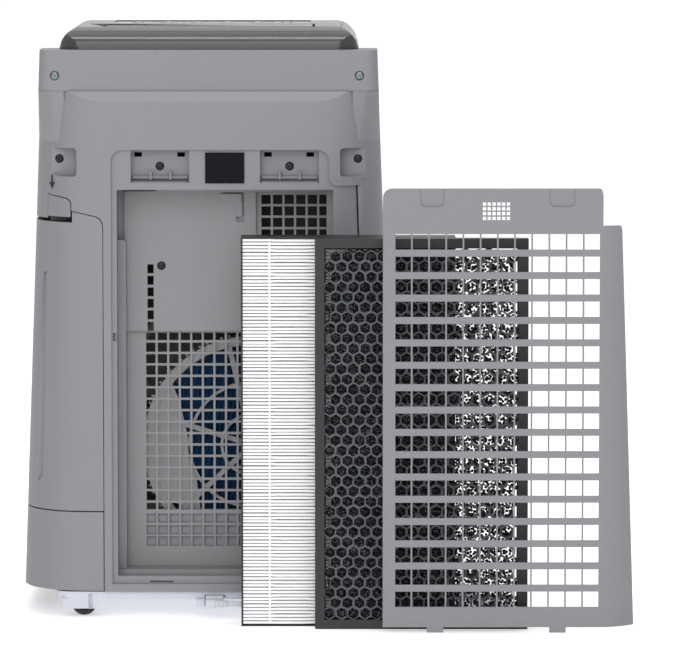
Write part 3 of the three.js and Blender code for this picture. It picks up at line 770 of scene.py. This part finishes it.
# tank, tray and latch
water = cabinetBlock("tank_body", 0, tank["bottom"], tank["top"] + 2)
carve(water, slab("tank_side", tankOutline(100) + [(-300, 455.5)], -200, tank["front"], "y"), how="INTERSECT")
carve(water, block("over_latch", -300, tank["latchRight"] + 1.6, -300, 0, 443, 500),
      block("over_front", -300, -100, -119.5, 0, 443, 500),
      rod("cap_recess", (tank["capX"], tank["capY"], 132), 26, 28, "z"))
grip = slab("grip", [(-184.5, 385), (-181, 387), (-186.5, 158), (-191, 152), (-195, 156)], -200, -116, "y")
carve(water, grip)
neck = rod("neck", (tank["capX"], tank["capY"], 136), 19, 22, "z")
water = joined("tank_body", soften(water, 1.0, 3), neck)
place(water, "tank", "cabinetGrey", "cabinet_grey", "water_tank")
lever = cabinetBlock("latch_lever", 0, tank["latchLow"], 480)
carve(lever, slab("lever_side", leverOutline(440), -200, -122, "y"), how="INTERSECT")
soften(lever, 1.0, 3)
place(lever, "latch", "cabinetGrey", "cabinet_grey", "tank_latch")
# painted shadow: a thin black mat on the tank's stepped top and a thin black wall behind the latch lever
# stand in for the shade in the gap under the latch
shadow = cabinetBlock("latch_gap_shadow_sheet", 3.5, 443.2, 448.8)
carve(shadow, block("gap_side", -300, -154.6, -200, -120.5, 440, 450), how="INTERSECT")
carve(shadow, block("gap_room", -300, -100, -200, -121.7, 444.2, 460))
place(shadow, "tank", "blackPlastic", "black_plastic")
arrowOutline = [(-173.2, 495), (-175.2, 495), (-175.2, 487), (-178, 487), (-174.2, 479), (-170.4, 487),
                (-173.2, 487)]
arrow = slab("arrow", arrowOutline, -200, -100, "y")
mark = cabinetBlock("latch_arrow", -0.25, 470, 500)
carve(mark, arrow, how="INTERSECT")
carve(mark, cabinetBlock("under_mark", 0, 460, 510))
place(mark, "cabinet", "blackPlastic", "black_plastic")

trayOutline = [(-300, 20), (tank["right"], 20), (tank["right"], 119.8), (-170, 119.8), (-176, 125),
               (-300, 125)]
traySide = slab("tray_side", trayOutline, -200, tank["front"], "y")
tray = carve(cabinetBlock("tray_body", 0, 31, 119.8), traySide, how="INTERSECT")
wellCut = cabinetBlock("well", 3, 36, 300)
carve(wellCut, block("well_side", -300, -120, -200, -38.5, 0, 400), how="INTERSECT")
carve(tray, wellCut)
trough = block("trough", -138, 180, -87.5, -36, 34, 115)
carve(trough, block("channel", -148, 177.5, -85, -38.5, 36.5, 300),
      block("past_well", -400, -120, -200, 0, 36, 300))
carve(tray, block("to_channel", -125, -110, -85, -38.5, 36.5, 300))
soften(tray, 0.9, 2)
soften(trough, 0.6, 2)
place(joined("tray_body", tray, trough), "tray", "cabinetGrey", "cabinet_grey", "water_tray")
print("tank and tray made")

# filter bay and its grille
bayBox = slab("bay_box", bayOutline(3), -142.1, bay["back"], "y")
carve(bayBox, block("bay_inside", bay["left"], bay["right"], -200, 0, bay["bottom"], bay["top"]))
railLeft = bay["left"] - 1
rail = slab("rail", [(railLeft, 44), (-93, 44), (-93, 417), (-95, 421), (railLeft, 421)], -112, -90, "y")
sill = block("sill", -104, 141, -124, -90, 44, 51.5)
head = block("head", -60, 141, -106, -90, 474, 482)
stop = block("stop", 131, 141, -112, -90, 44, 482)
for part in (rail, sill, head, stop, bayBox):
    soften(part, 0.7, 2)
bayFrame = joined("bay_frame", bayBox, rail, sill, head, stop)
place(bayFrame, "cabinet", "grilleGrey", "grille_grey", "filter_bay")

mesh = {"left": -71.6, "pitch": 12.97, "hole": 10.3, "columns": 16, "rowTop": 303.7, "rows": 14,
        "upperTop": 470.1, "upperRows": 12, "rowPitch": 12.94, "rowHole": 10.2}
xs = [-105] + holes(mesh["left"], mesh["pitch"], mesh["hole"], mesh["columns"]) + [141.6]
lowRows = [73.5, 84.2, 86.6, 96.8, 100.0, 110.1, 114.8, 122.3]


def rowBelow(top, i):
    high = top - i * mesh["rowPitch"]
    return [high - mesh["rowHole"], high]


mainRows = [z for i in reversed(range(mesh["rows"])) for z in rowBelow(mesh["rowTop"], i)]
upperRows = [z for i in reversed(range(mesh["upperRows"])) for z in rowBelow(mesh["upperTop"], i)]
zs = [44] + lowRows + mainRows + [306.7, 315.1] + upperRows + [482.7]
firstUpper = len(lowRows) + len(mainRows) + 2


def openGrille(column, row):
    if column % 2 == 0 or row % 2 == 0:
        return False
    cell = column // 2
    if row < firstUpper:
        return True
    return cell >= 10 or (cell == 0 and row < firstUpper + 12)


grille = lattice("bay_mesh", xs, zs, bay["back"] + 0.3, openGrille)
finishWith(grille, "SOLIDIFY", thickness=0.0026, offset=-1)
soften(grille, 0.45, 2, weld=False)
cover = slab("cover_plate", roundedBox(-95.4, 51.8, 317.5, 474.5, 3), -97, bay["back"] + 0.2, "y")
notch = [(30, 440), (39, 440), (39, 500), (16, 500), (16, 462), (30, 462)]
carve(cover, slab("cover_notch", notch, -99, -93.5, "y"))
for i in range(6, 12):
    carve(cover, block("cover_hole", -69.8, -62.8, -110, -80, *rowBelow(mesh["upperTop"], i)))
soften(cover, 1.2, 3)
catch = soften(block("catch", 12, 36, -99.5, -93, 462, 472), 0.8, 2)
lug = soften(block("lug", 30, 37, -99, -93, 446, 463), 0.8, 2)
place(joined("bay_mesh", grille, cover, catch, lug), "cabinet", "grilleGrey", "grille_grey", "bay_grille")

# screws
screws = {
    "screw_upper_left": (-170, 605.7, -139.4, 4.5, "screwZinc", "screw_zinc"),
    "screw_upper_right": (167.5, 605.7, -139.4, 4.5, "screwZinc", "screw_zinc"),
    "screw_side_left": (-166, 513, -126, 4.8, "blackScrew", "screw_black"),
    "screw_side_right": (166, 513, -126, 4.8, "blackScrew", "screw_black"),
    "screw_pocket_left": (-54, 505, -133, 4.8, "blackScrew", "screw_black"),
    "screw_pocket_right": (90, 505, -133, 4.8, "blackScrew", "screw_black"),
    "screw_bay": (-54, 391, -97, 4.8, "blackScrew", "screw_black"),
}
for name, (x, z, seat, head, finish, slotName) in screws.items():
    profile = [(0, 1.2), (head, 1.2), (head, -0.4), (head * 0.93, -1.2), (head * 0.7, -1.9),
               (head * 0.35, -2.2), (0, -2.3)]
    screw = turned(name + "_head", (x, seat, z), "y", profile, 28)
    slots = [block("slot", x - 2.6, x + 2.6, seat - 5, seat - 0.9, z - 0.55, z + 0.55),
             block("slot", x - 0.55, x + 0.55, seat - 5, seat - 0.9, z - 2.6, z + 2.6),
             turned("cross", (x, seat, z), "y", [(0, -5), (1.3, -5), (0.9, -0.6), (0, -0.3)], 12)]
    soften(carve(screw, *slots), 0.15, 1, 40)
    place(screw, "cabinet", finish, slotName, name)

# finger pockets: a rib with two small tabs, and a lip
for i, (x0, x1) in enumerate(pockets["finger"]):
    rib = soften(block("rib", x0 + 2, x1 - 2, -139, -132.5, 491.5, 494), 0.4, 2)
    tabs = [soften(block("tab", x - 1.2, x + 1.2, -142, -132.5, 490, 500), 0.5, 2)
            for x in (x0 + 22, x0 + 44)]
    lip = soften(block("lip", x0 + 1.5, x1 - 1.5, -145, -132.5, 486.4, 488.6), 0.5, 2)
    place(joined("pocket_rib_" + "ab"[i], rib, *tabs, lip), "cabinet", "cabinetGrey", "cabinet_grey")

# humidifying wheel
wheel = {"x": 47, "z": 187, "radius": 126, "media": 114, "teeth": 90, "spokes": 6}
wheelX, wheelZ, rimOut, rimIn = wheel["x"], wheel["z"], wheel["radius"] - 3, wheel["media"]


def onWheel(name, profile, sides):
    return turned(name, (wheelX, 0, wheelZ), "y", profile, sides)


frameParts = [onWheel("rim", [(rimIn - 1, -79.5), (rimIn, -80), (rimOut, -80), (rimOut, -74), (rimOut, -50),
                              (rimOut, -44), (rimIn, -44), (rimIn - 1, -44.5), (rimIn - 1, -79.5)], 96)]
hub = onWheel("hub", [(0, -80), (9, -80), (10, -79), (11, -62), (11, -44), (0, -44)], 32)
frameParts.append(soften(hub, 0.4, 2))
toothTop = wheelZ + wheel["radius"]
tooth = block("tooth", wheelX - 1.3, wheelX + 1.3, -74, -50, toothTop - 4, toothTop)


def swung(piece, degrees):
    edit(piece, every=True)
    axle = spot(wheelX, 0, wheelZ)
    bpy.ops.transform.rotate(value=math.radians(degrees), orient_axis="Y", center_override=axle)
    setMode("OBJECT")
    return piece


def twin(piece, name):
    clearSelection()
    copy = bpy.data.objects.new(name, piece.data.copy())
    bpy.context.scene.collection.objects.link(copy)
    return copy


frameParts.append(tooth)
for i in range(1, wheel["teeth"]):
    frameParts.append(swung(twin(tooth, "tooth"), i * 360 / wheel["teeth"]))
for i in range(wheel["spokes"]):
    spoke = block("spoke", wheelX + 8, wheelX + rimIn + 1, -80, -76.5, wheelZ - 3, wheelZ + 3)
    frameParts.append(swung(soften(spoke, 0.8, 2), i * 360 / wheel["spokes"] - 17))
shieldEdge = arc(wheelX, wheelZ, rimIn - 0.5, 146, 212, 11)
shieldPlate = slab("shield", shieldEdge + [(-10, 104), (-16, 150), (-34, 236), (-43, 256)], -79.5, -77.5, "y")
frameParts.append(soften(shieldPlate, 0.6, 2))
for u in (0.3, 0.62):  # two hoops that hold the media
    low, high = rimIn * u - 1.6, rimIn * u + 1.6
    section = [(low, -79.5), (high, -79.5), (high, -76.5), (low, -76.5), (low, -79.5)]
    frameParts.append(onWheel("hoop", section, 64))
wheelFrame = joined("wheel_frame", *frameParts)
place(wheelFrame, "humidifier_wheel", "innerWhite", "grille_grey", "humidifier_frame")

media = {"pleat": 2.6, "slant": -10, "rear": -75.5, "deep": 7, "rows": 30, "edge": 2.5}
columns = int(2 * rimIn / media["pleat"])
mediaXs = [wheelX - rimIn + i * media["pleat"] for i in range(columns + 1)]
mediaZs = [wheelZ - rimIn + i * 2 * rimIn / media["rows"] for i in range(media["rows"] + 1)]


def beyondWheel(column, row):
    x = (mediaXs[column] + mediaXs[column + 1]) / 2 - wheelX
    z = (mediaZs[row] + mediaZs[row + 1]) / 2 - wheelZ
    return math.hypot(x, z) > rimIn - 2


pleats = lattice("media_pleats", mediaXs, mediaZs, 0, beyondWheel)
wave = random.Random(4)
lean = [wave.uniform(-0.5, 0.5) for _ in mediaXs]
for vertex in pleats.data.vertices:
    x, z = (vertex.co.x - midX) * 1000, vertex.co.z * 1000
    i = round((x - mediaXs[0]) / media["pleat"])
    out = math.hypot(x - wheelX, z - wheelZ)
    if out > rimIn - media["edge"]:  # the ragged rim is drawn in to a true circle
        x = wheelX + (x - wheelX) * (rimIn - media["edge"]) / out
        z = wheelZ + (z - wheelZ) * (rimIn - media["edge"]) / out
    y = media["rear"] if i % 2 else media["rear"] + media["deep"]
    vertex.co = spot(x + lean[i], y + 1.2 * math.sin(z * 0.11 + i), z)
swung(pleats, media["slant"])
finishWith(pleats, "SOLIDIFY", thickness=0.0009, offset=0)
place(pleats, "humidifier_wheel", "mediaBlue", "media_blue", "humidifier_media")
print("wheel made")

# pleated filter
hepa = {"left": 37, "width": 236, "height": 431.5, "front": -206, "rear": -171, "side": 1.8, "pleats": 114,
        "foldShares": (0, 0.16, 0.34, 0.82), "foldDepth": 9, "beads": (68.5, 155, 241.5)}


def filterFrame(name, filter, lip, depth):
    x0, x1, high = filter["left"], filter["left"] + filter["width"], filter["height"]
    side, y0, y1 = filter["side"], filter["front"], filter["rear"]
    inner = side + lip
    frameBox = block(name, x0, x1, y0, y1, 0, high)
    carve(frameBox, block("opening", x0 + side, x1 - side, y0 - 5, y1 - depth, side, high - side),
          block("behind", x0 + inner, x1 - inner, y0 - 5, y1 + 5, inner, high - inner))
    return soften(frameBox, 0.35, 2)


place(filterFrame("hepa_border", hepa, 4, 2), "hepa_filter", "blackPlastic", "black_plastic", "hepa_frame")
low, high = hepa["side"] + 0.3, hepa["height"] - hepa["side"] - 0.3
foldPitch = (high - low) / hepa["pleats"]
foldZs = [low + foldPitch * (i + u) for i in range(hepa["pleats"]) for u in hepa["foldShares"]] + [high]
foldXs = [hepa["left"] + 2.1 + i * (hepa["width"] - 4.2) / 24 for i in range(25)]
folds = lattice("hepa_folds", foldXs, foldZs, hepa["front"] + 1, lambda column, row: False)
ripple = random.Random(7)
sag = [ripple.uniform(-0.3, 0.3) for _ in range(7 * hepa["pleats"] + 14)]
for i, vertex in enumerate(folds.data.vertices):
    column, row = i % len(foldXs), i // len(foldXs)
    if row % 4 in (0, 1):  # the two rows at the bottom of each fold
        vertex.co.y += hepa["foldDepth"] / 1000
    elif 0 < row < len(foldZs) - 1:
        vertex.co.z += sag[(row // 4) * 7 + column // 4] / 1000
finishWith(folds, "SOLIDIFY", thickness=0.0005, offset=1)
beads = []
for x in hepa["beads"]:
    bead = block("bead", x - 1.1, x + 1.1, hepa["front"] + 0.35, hepa["front"] + 3, low + 3, high - 3)
    beads.append(soften(bead, 0.7, 2))
place(joined("hepa_folds", folds, *beads), "hepa_filter", "filterPaper", "filter_paper", "hepa_pleats")
print("pleated filter made")

# carbon filter
coal = {"left": 118.5, "width": 234, "height": 431.5, "front": -226, "rear": -210, "side": 10.5,
        "pitch": 13.0, "rim": 1.05, "rough": 0.5, "grains": 7, "grain": 2.1, "grainRing": 3.9}
coalBorder = filterFrame("carbon_border", coal, 1.5, 2)
place(coalBorder, "carbon_filter", "blackPlastic", "black_plastic", "carbon_frame")
rowStep = coal["pitch"] * math.sqrt(3) / 2
columns = int((coal["width"] - 2 * coal["side"]) / coal["pitch"])
rows = int((coal["height"] - 2 * coal["side"]) / rowStep)
startX = coal["left"] + (coal["width"] - columns * coal["pitch"]) / 2 + coal["pitch"] / 4
startZ = coal["side"] + rowStep / 2 + 1.5
clearSelection()
cellCentre = spot(startX, coal["front"] + 1, startZ)
bpy.ops.mesh.primitive_circle_add(vertices=6, radius=coal["pitch"] / math.sqrt(3) / 1000, fill_type="NGON",
                                  location=cellCentre, rotation=(math.pi / 2, 0, 0))
cells = named("comb")
edit(cells, every=True)
bpy.ops.mesh.inset(thickness=coal["rim"] / 1000, use_individual=True)
bpy.ops.mesh.delete(type="FACE")
setMode("OBJECT")
repeat(cells, columns, (coal["pitch"], 0, 0))


def staggered(name, piece):
    # adds a second row half a pitch along, then repeats both up the filter
    offsetRow = twin(piece, name + "_row")
    for vertex in offsetRow.data.vertices:
        vertex.co.x += coal["pitch"] / 2000
        vertex.co.z += rowStep / 1000
    return repeat(joined(name, piece, offsetRow), (rows + 1) // 2, (0, 0, 2 * rowStep))


cells = staggered("comb", cells)
edit(cells, "VERT", every=True)
bpy.ops.mesh.remove_doubles(threshold=0.00005)
bpy.ops.mesh.normals_make_consistent(inside=False)
setMode("OBJECT")
rough = random.Random(11)
for vertex in cells.data.vertices:
    vertex.co.x += rough.uniform(-coal["rough"], coal["rough"]) / 1000
    vertex.co.z += rough.uniform(-coal["rough"], coal["rough"]) / 1000
    vertex.co.y += rough.uniform(0, 0.8) / 1000
faceRear(cells)
finishWith(cells, "SOLIDIFY", thickness=0.011, offset=-1)
finishWith(cells, "BEVEL", width=0.0004, segments=1, limit_method="ANGLE", angle_limit=math.radians(50))
place(cells, "carbon_filter", "carbonRim", "carbon_black", "carbon_core")

clearSelection()
centre = spot(startX, coal["front"] + 6, startZ)
bpy.ops.mesh.primitive_ico_sphere_add(subdivisions=1, radius=coal["grain"] / 1000, location=centre)
pellet = named("pellets")
grains = random.Random(5)
handful = [pellet]
for i in range(coal["grains"]):
    grain = twin(pellet, "pellet")
    turn = i * 2 * math.pi / coal["grains"]
    along, up = coal["grainRing"] * math.cos(turn), coal["grainRing"] * math.sin(turn)
    size = grains.uniform(0.75, 1.15)
    for vertex in grain.data.vertices:
        vertex.co = centre + (vertex.co - centre) * size
        vertex.co += Vector((along, grains.uniform(-2, 2), up)) / 1000
    handful.append(grain)
pellets = staggered("pellets", repeat(joined("pellets", *handful), columns, (coal["pitch"], 0, 0)))
loose = random.Random(3)
perGrain = 12  # corners of one grain
for start in range(0, len(pellets.data.vertices), perGrain):
    push = Vector((loose.uniform(-1.0, 1.0), loose.uniform(-2.0, 2.0), loose.uniform(-1.0, 1.0))) / 1000
    for i in range(start, start + perGrain):
        jitter = Vector([loose.uniform(-0.4, 0.4) for _ in range(3)]) / 1000
        pellets.data.vertices[i].co += push + jitter
place(pellets, "carbon_filter", "carbonGrain", "carbon_black")
print("carbon filter made")

# rear panel
panel = {
    "left": 192.8, "front": -250, "sheet": 2.6, "height": 482, "tab": 6, "topWidth": 240, "shoulder": 441.5,
    "shoulderWidth": 260.8, "bottomWidth": 276, "wrap": 20, "wrapStart": 232,
    "columnFirst": 13.6, "columnPitch": 18.72, "columnOpen": 16.9, "columns": 12,
    "rowFirst": 22.4, "rowPitch": 24.56, "rowOpen": 17.0, "rows": 17,
    "mini": {"x": 108.6, "z": 447.6, "pitch": 5.2, "open": 3.7, "columns": 6, "rows": 4},
    "tabs": (57.5, 191.7),
}
mini = panel["mini"]
left, tab = panel["left"], panel["tab"]
slotXs = holes(left + panel["columnFirst"], panel["columnPitch"], panel["columnOpen"], panel["columns"])
slotZs = holes(tab + panel["rowFirst"], panel["rowPitch"], panel["rowOpen"], panel["rows"])
miniXs = holes(left + mini["x"], mini["pitch"], mini["open"], mini["columns"])
miniZs = holes(tab + mini["z"], mini["pitch"], mini["open"], mini["rows"])
edgeXs = [left + panel["topWidth"] + 4.5 * i for i in range(9)]
px = sorted(set([left] + slotXs + miniXs + edgeXs))
pz = sorted(set([tab] + slotZs + [tab + panel["shoulder"]] + miniZs + [tab + panel["height"]]))


def within(value, edges):
    return any(a < value < b for a, b in zip(edges[::2], edges[1::2]))


def openPanel(column, row):
    x, z = (px[column] + px[column + 1]) / 2, (pz[row] + pz[row + 1]) / 2
    beside = x > left + panel["topWidth"] and z > tab + panel["shoulder"]
    return beside or (within(x, slotXs) and within(z, slotZs)) or (within(x, miniXs) and within(z, miniZs))


sheet = lattice("panel_sheet", px, pz, panel["front"], openPanel)
for vertex in sheet.data.vertices:  # the right edge slants, and wraps back round the cabinet's corner
    x, z = (vertex.co.x - midX) * 1000 - left, vertex.co.z * 1000 - tab
    if x > panel["topWidth"] + 0.1:
        edge = panel["bottomWidth"] + (panel["shoulderWidth"] - panel["bottomWidth"]) * z / panel["shoulder"]
        x = panel["topWidth"] + (x - panel["topWidth"]) * (edge - panel["topWidth"]) / 36
    bendBack = max(0, (x - panel["wrapStart"]) / (panel["bottomWidth"] - panel["wrapStart"]))
    vertex.co = spot(left + x, panel["front"] + panel["wrap"] * bendBack ** 2.4, z + tab)


def roundCorner(piece, x, z, radius):
    # rounds the sheet's corner nearest to a place
    edit(piece, "VERT")
    corner = spot(x, 0, z)
    nearest = min(piece.data.vertices, key=lambda v: (v.co.x - corner.x) ** 2 + (v.co.z - corner.z) ** 2)
    nearest.select = True
    setMode("EDIT")
    bpy.ops.mesh.bevel(offset=radius / 1000, segments=6, affect="VERTICES")
    setMode("OBJECT")


roundCorner(sheet, left, tab + panel["height"], 10)
roundCorner(sheet, left + panel["topWidth"], tab + panel["height"], 10)
roundCorner(sheet, left + panel["shoulderWidth"], tab + panel["shoulder"], 5)
finishWith(sheet, "SOLIDIFY", thickness=panel["sheet"] / 1000, offset=-1)
for centre in panel["tabs"]:
    x, y = left + centre, panel["front"]
    carve(sheet, block("panel_tab", x - 9, x + 9, y, y + panel["sheet"], 0, tab + 3), how="UNION")
scoops = []
for x0, x1 in ((left + 40.5, left + 67), (left + 181, left + 209.5)):
    high = tab + panel["height"]
    dish = slab("scoop", arc(x1 - 6, high - 14, 6, 0, -90, 5) + arc(x0 + 6, high - 14, 6, -90, -180, 5)
                + [(x0, high + 5), (x1, high + 5)], panel["front"] - 5, panel["front"] + 1.8, "y")
    scoops.append(dish)
carve(sheet, *scoops)
soften(sheet, 0.5, 2, 40, weld=False)
place(sheet, "panel", "cabinetGrey", "cabinet_grey", "rear_panel")
print("rear panel made")

# lid, outlet flap and controls
lid = {"top": 658.5, "ridge": 648, "half": 167}
outlet = {"left": -118, "right": 118, "rear": -92, "front": -8}
controls = {"left": -112, "right": 112, "rear": 36, "front": 108}
half = [(0, cabinet["top"] + 0.3), (lid["half"], cabinet["top"] + 0.3), (163.5, 644)]
half += bend((163.5, 644), (155, lid["top"]), (140, lid["top"]), 14) + [(0, lid["top"])]
cap = slab("lid_body", mirrored(half), -140, 140, "y")
along = [(-128, 620), (128, 620), (128, lid["ridge"])]
along += bend((128, lid["ridge"]), (127, 657), (112, lid["top"]), 6)
along += [(0, lid["top"]), (outlet["rear"], lid["top"] - 0.3), (-104, 655.6)]
along += bend((-104, 655.6), (-126.5, 650), (-127, 641), 10)
carve(cap, slab("lid_length", along, -180, 180, "x"), how="INTERSECT")
carve(cap, slab("lid_plan", roundedBox(-167, 167, -128, 128, 30, 12), 600, 700), how="INTERSECT")
carve(cap, block("lid_hollow", -150, 150, -112, 112, 600, lid["top"] - 5))
for gap in (outlet, controls):
    carve(cap, block("lid_hole", gap["left"], gap["right"], gap["rear"], gap["front"], 600, 700))
soften(cap, 1.3, 4, 24, weld=False)
place(cap, "cabinet", "lidGrey", "lid_grey", "top_cover")

top, left, right = lid["top"], outlet["left"] + 3, outlet["right"] - 3
blade = slab("flap_blade", roundedBox(left, right, -86, outlet["front"] - 1, 4), top - 3.2, top - 0.2)
for y in (-72, -58, -44, -30):
    carve(blade, block("groove", left + 9, right - 9, y, y + 1.2, top - 0.9, top + 1))
barrel = rod("flap_barrel", (0, -87, top - 4), 3.6, right - left, "x", 24)
flap = joined("flap_blade", soften(blade, 0.5, 2), soften(barrel, 0.4, 2))
place(flap, "flap", "lidGrey", "lid_grey", "outlet_flap")

buttonNames = ("power", "mode", "fan_speed", "timer", "brightness", "humidify")
buttonX = {name: (i - 2.5) * 34 for i, name in enumerate(buttonNames)}
buttonProfile = [(0, -9), (3, -9), (3, -4), (7.4, -4), (7.4, -0.7), (6.9, -0.1), (6.2, 0), (3.5, -0.5),
                 (0, -0.7)]
deckPlan = roundedBox(controls["left"] + 0.3, controls["right"] - 0.3, controls["rear"] + 0.3,
                      controls["front"] - 0.3, 2)
deck = slab("control_deck", deckPlan, top - 4, top - 1)
carve(deck, *[rod("button_hole", (x, 58, 656), 8, 20, "z", 40) for x in buttonX.values()])
carve(deck, block("display_hole", -70, 70, 76, 100, 640, 670))
place(soften(deck, 0.4, 2), "cabinet", "controlGloss", "control_gloss", "control_panel")
for name, x in buttonX.items():
    button = turned("button_cap_" + name, (x, 58, top), "z", buttonProfile, 40)
    pick(button)
    bpy.ops.object.shade_smooth_by_angle(angle=math.radians(35))
    place(button, "button_" + name, "controlGloss", "control_gloss", "button_" + name)
glass = soften(block("display_glass", -69.7, 69.7, 76.3, 99.7, top - 3.5, top - 1.3), 0.5, 3)
place(glass, "cabinet", "controlGloss", "control_gloss", "display_window")

# front panel
half = [(0, 136.3), (194.5, 136.3)] + bend((194.5, 136.3), (197, 145), (186, 146.5), 6)
half += bend((186, 146.5), (100, 150), (0, 150), 12)
face = narrowed(slab("front_face", mirrored(half), 36, 622))
carve(face, slab("front_outline", roundedBox(-200, 200, 36, 622, 18, 8), 100, 200, "y"), how="INTERSECT")
soften(face, 1.6, 4, 24)
place(face, "cabinet", "lidGrey", "lid_grey", "front_panel")

# base and casters
casters = {"rear_left": (-141, -118), "rear_right": (141, -118),
           "front_left": (-141, 95), "front_right": (141, 95)}
base = slab("base_body", roundedBox(-172, 172, -146, 124, 18, 8), 21, 29.7)
for x, y in casters.values():
    skirt = slab("skirt", [(x - 23, 22), (x + 18, 22), (x + 14.5, 10.6), (x - 22, 10.6)], y - 28, y + 16, "y")
    carve(base, skirt, how="UNION")
for x, y in casters.values():
    carve(base, block("wheel_well", x - 17.5, x + 17.5, y - 7, y + 7, 0, 35),
          block("axle_slot", x - 2.9, x + 2.9, y - 12, y + 12, 0, 17.4))
carve(base, block("cord_block", -14.5, 16, -152, -122, 13, 22), how="UNION")
carve(base, block("cord_recess", -5, 18, -153, -138, 15, 26))
for x, y in (casters["rear_left"], casters["rear_right"]):
    carve(base, block("grey_slot", x + 6, x + 10.5, y - 30, y - 24, 11.5, 27))
soften(base, 0.8, 2)
place(base, "cabinet", "baseWhite", "base_white", "base_frame")
tyreHalf = [(0, -11), (2.5, -11), (2.5, -6), (8, -5), (9, -6), (13.4, -6), (14.5, -4.6), (14.5, -0.8)]
tyreProfile = tyreHalf + [(13.9, 0)] + [(radius, -side) for radius, side in reversed(tyreHalf)]
for name, (x, y) in casters.items():
    tyre = turned("tyre_" + name, (x, y, 14.5), "y", tyreProfile, 40)
    soften(tyre, 0.2, 1, 40, weld=False)
    place(tyre, "caster_" + name, "casterRubber", "caster_rubber", "caster_wheel_" + name)
print("lid, front and base made")

# CAD nodes that stay as they are
kept = {
    "motorSteel": ("fan_motor", "fan_shaft", "plug_blade_rear", "plug_blade_front"),
    "blackPlastic": ("sensor_box", "ion_unit", "gear_motor"),
    "innerWhite": ("drive_pinion", "wheel_roller_left", "wheel_roller_right", "tray_float"),
    "boardGreen": ("control_board",), "housingBlack": ("fan_housing",), "grilleGrey": ("fan_rotor",),
    "capBlue": ("tank_cap",),
}
for node, finish in [(node, finish) for finish, nodes in kept.items() for node in nodes]:
    paint(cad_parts[node], finish)
    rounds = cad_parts[node].modifiers.new("edge", "BEVEL")
    rounds.width = 0.0004
    rounds.segments = 2
    rounds.limit_method = "ANGLE"
pad = block("foam_pad", -3.2, 39.6, -148, -143.3, 487, 520.5)
edit(pad, every=True)
bpy.ops.mesh.subdivide(number_cuts=24)
setMode("OBJECT")
pores = random.Random(2)
for vertex in pad.data.vertices:
    vertex.co += Vector([pores.uniform(-0.35, 0.35) for _ in range(3)]) / 1000
place(pad, "cabinet", "foamBlack", "foam_black", "sensor_filter")

low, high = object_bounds()
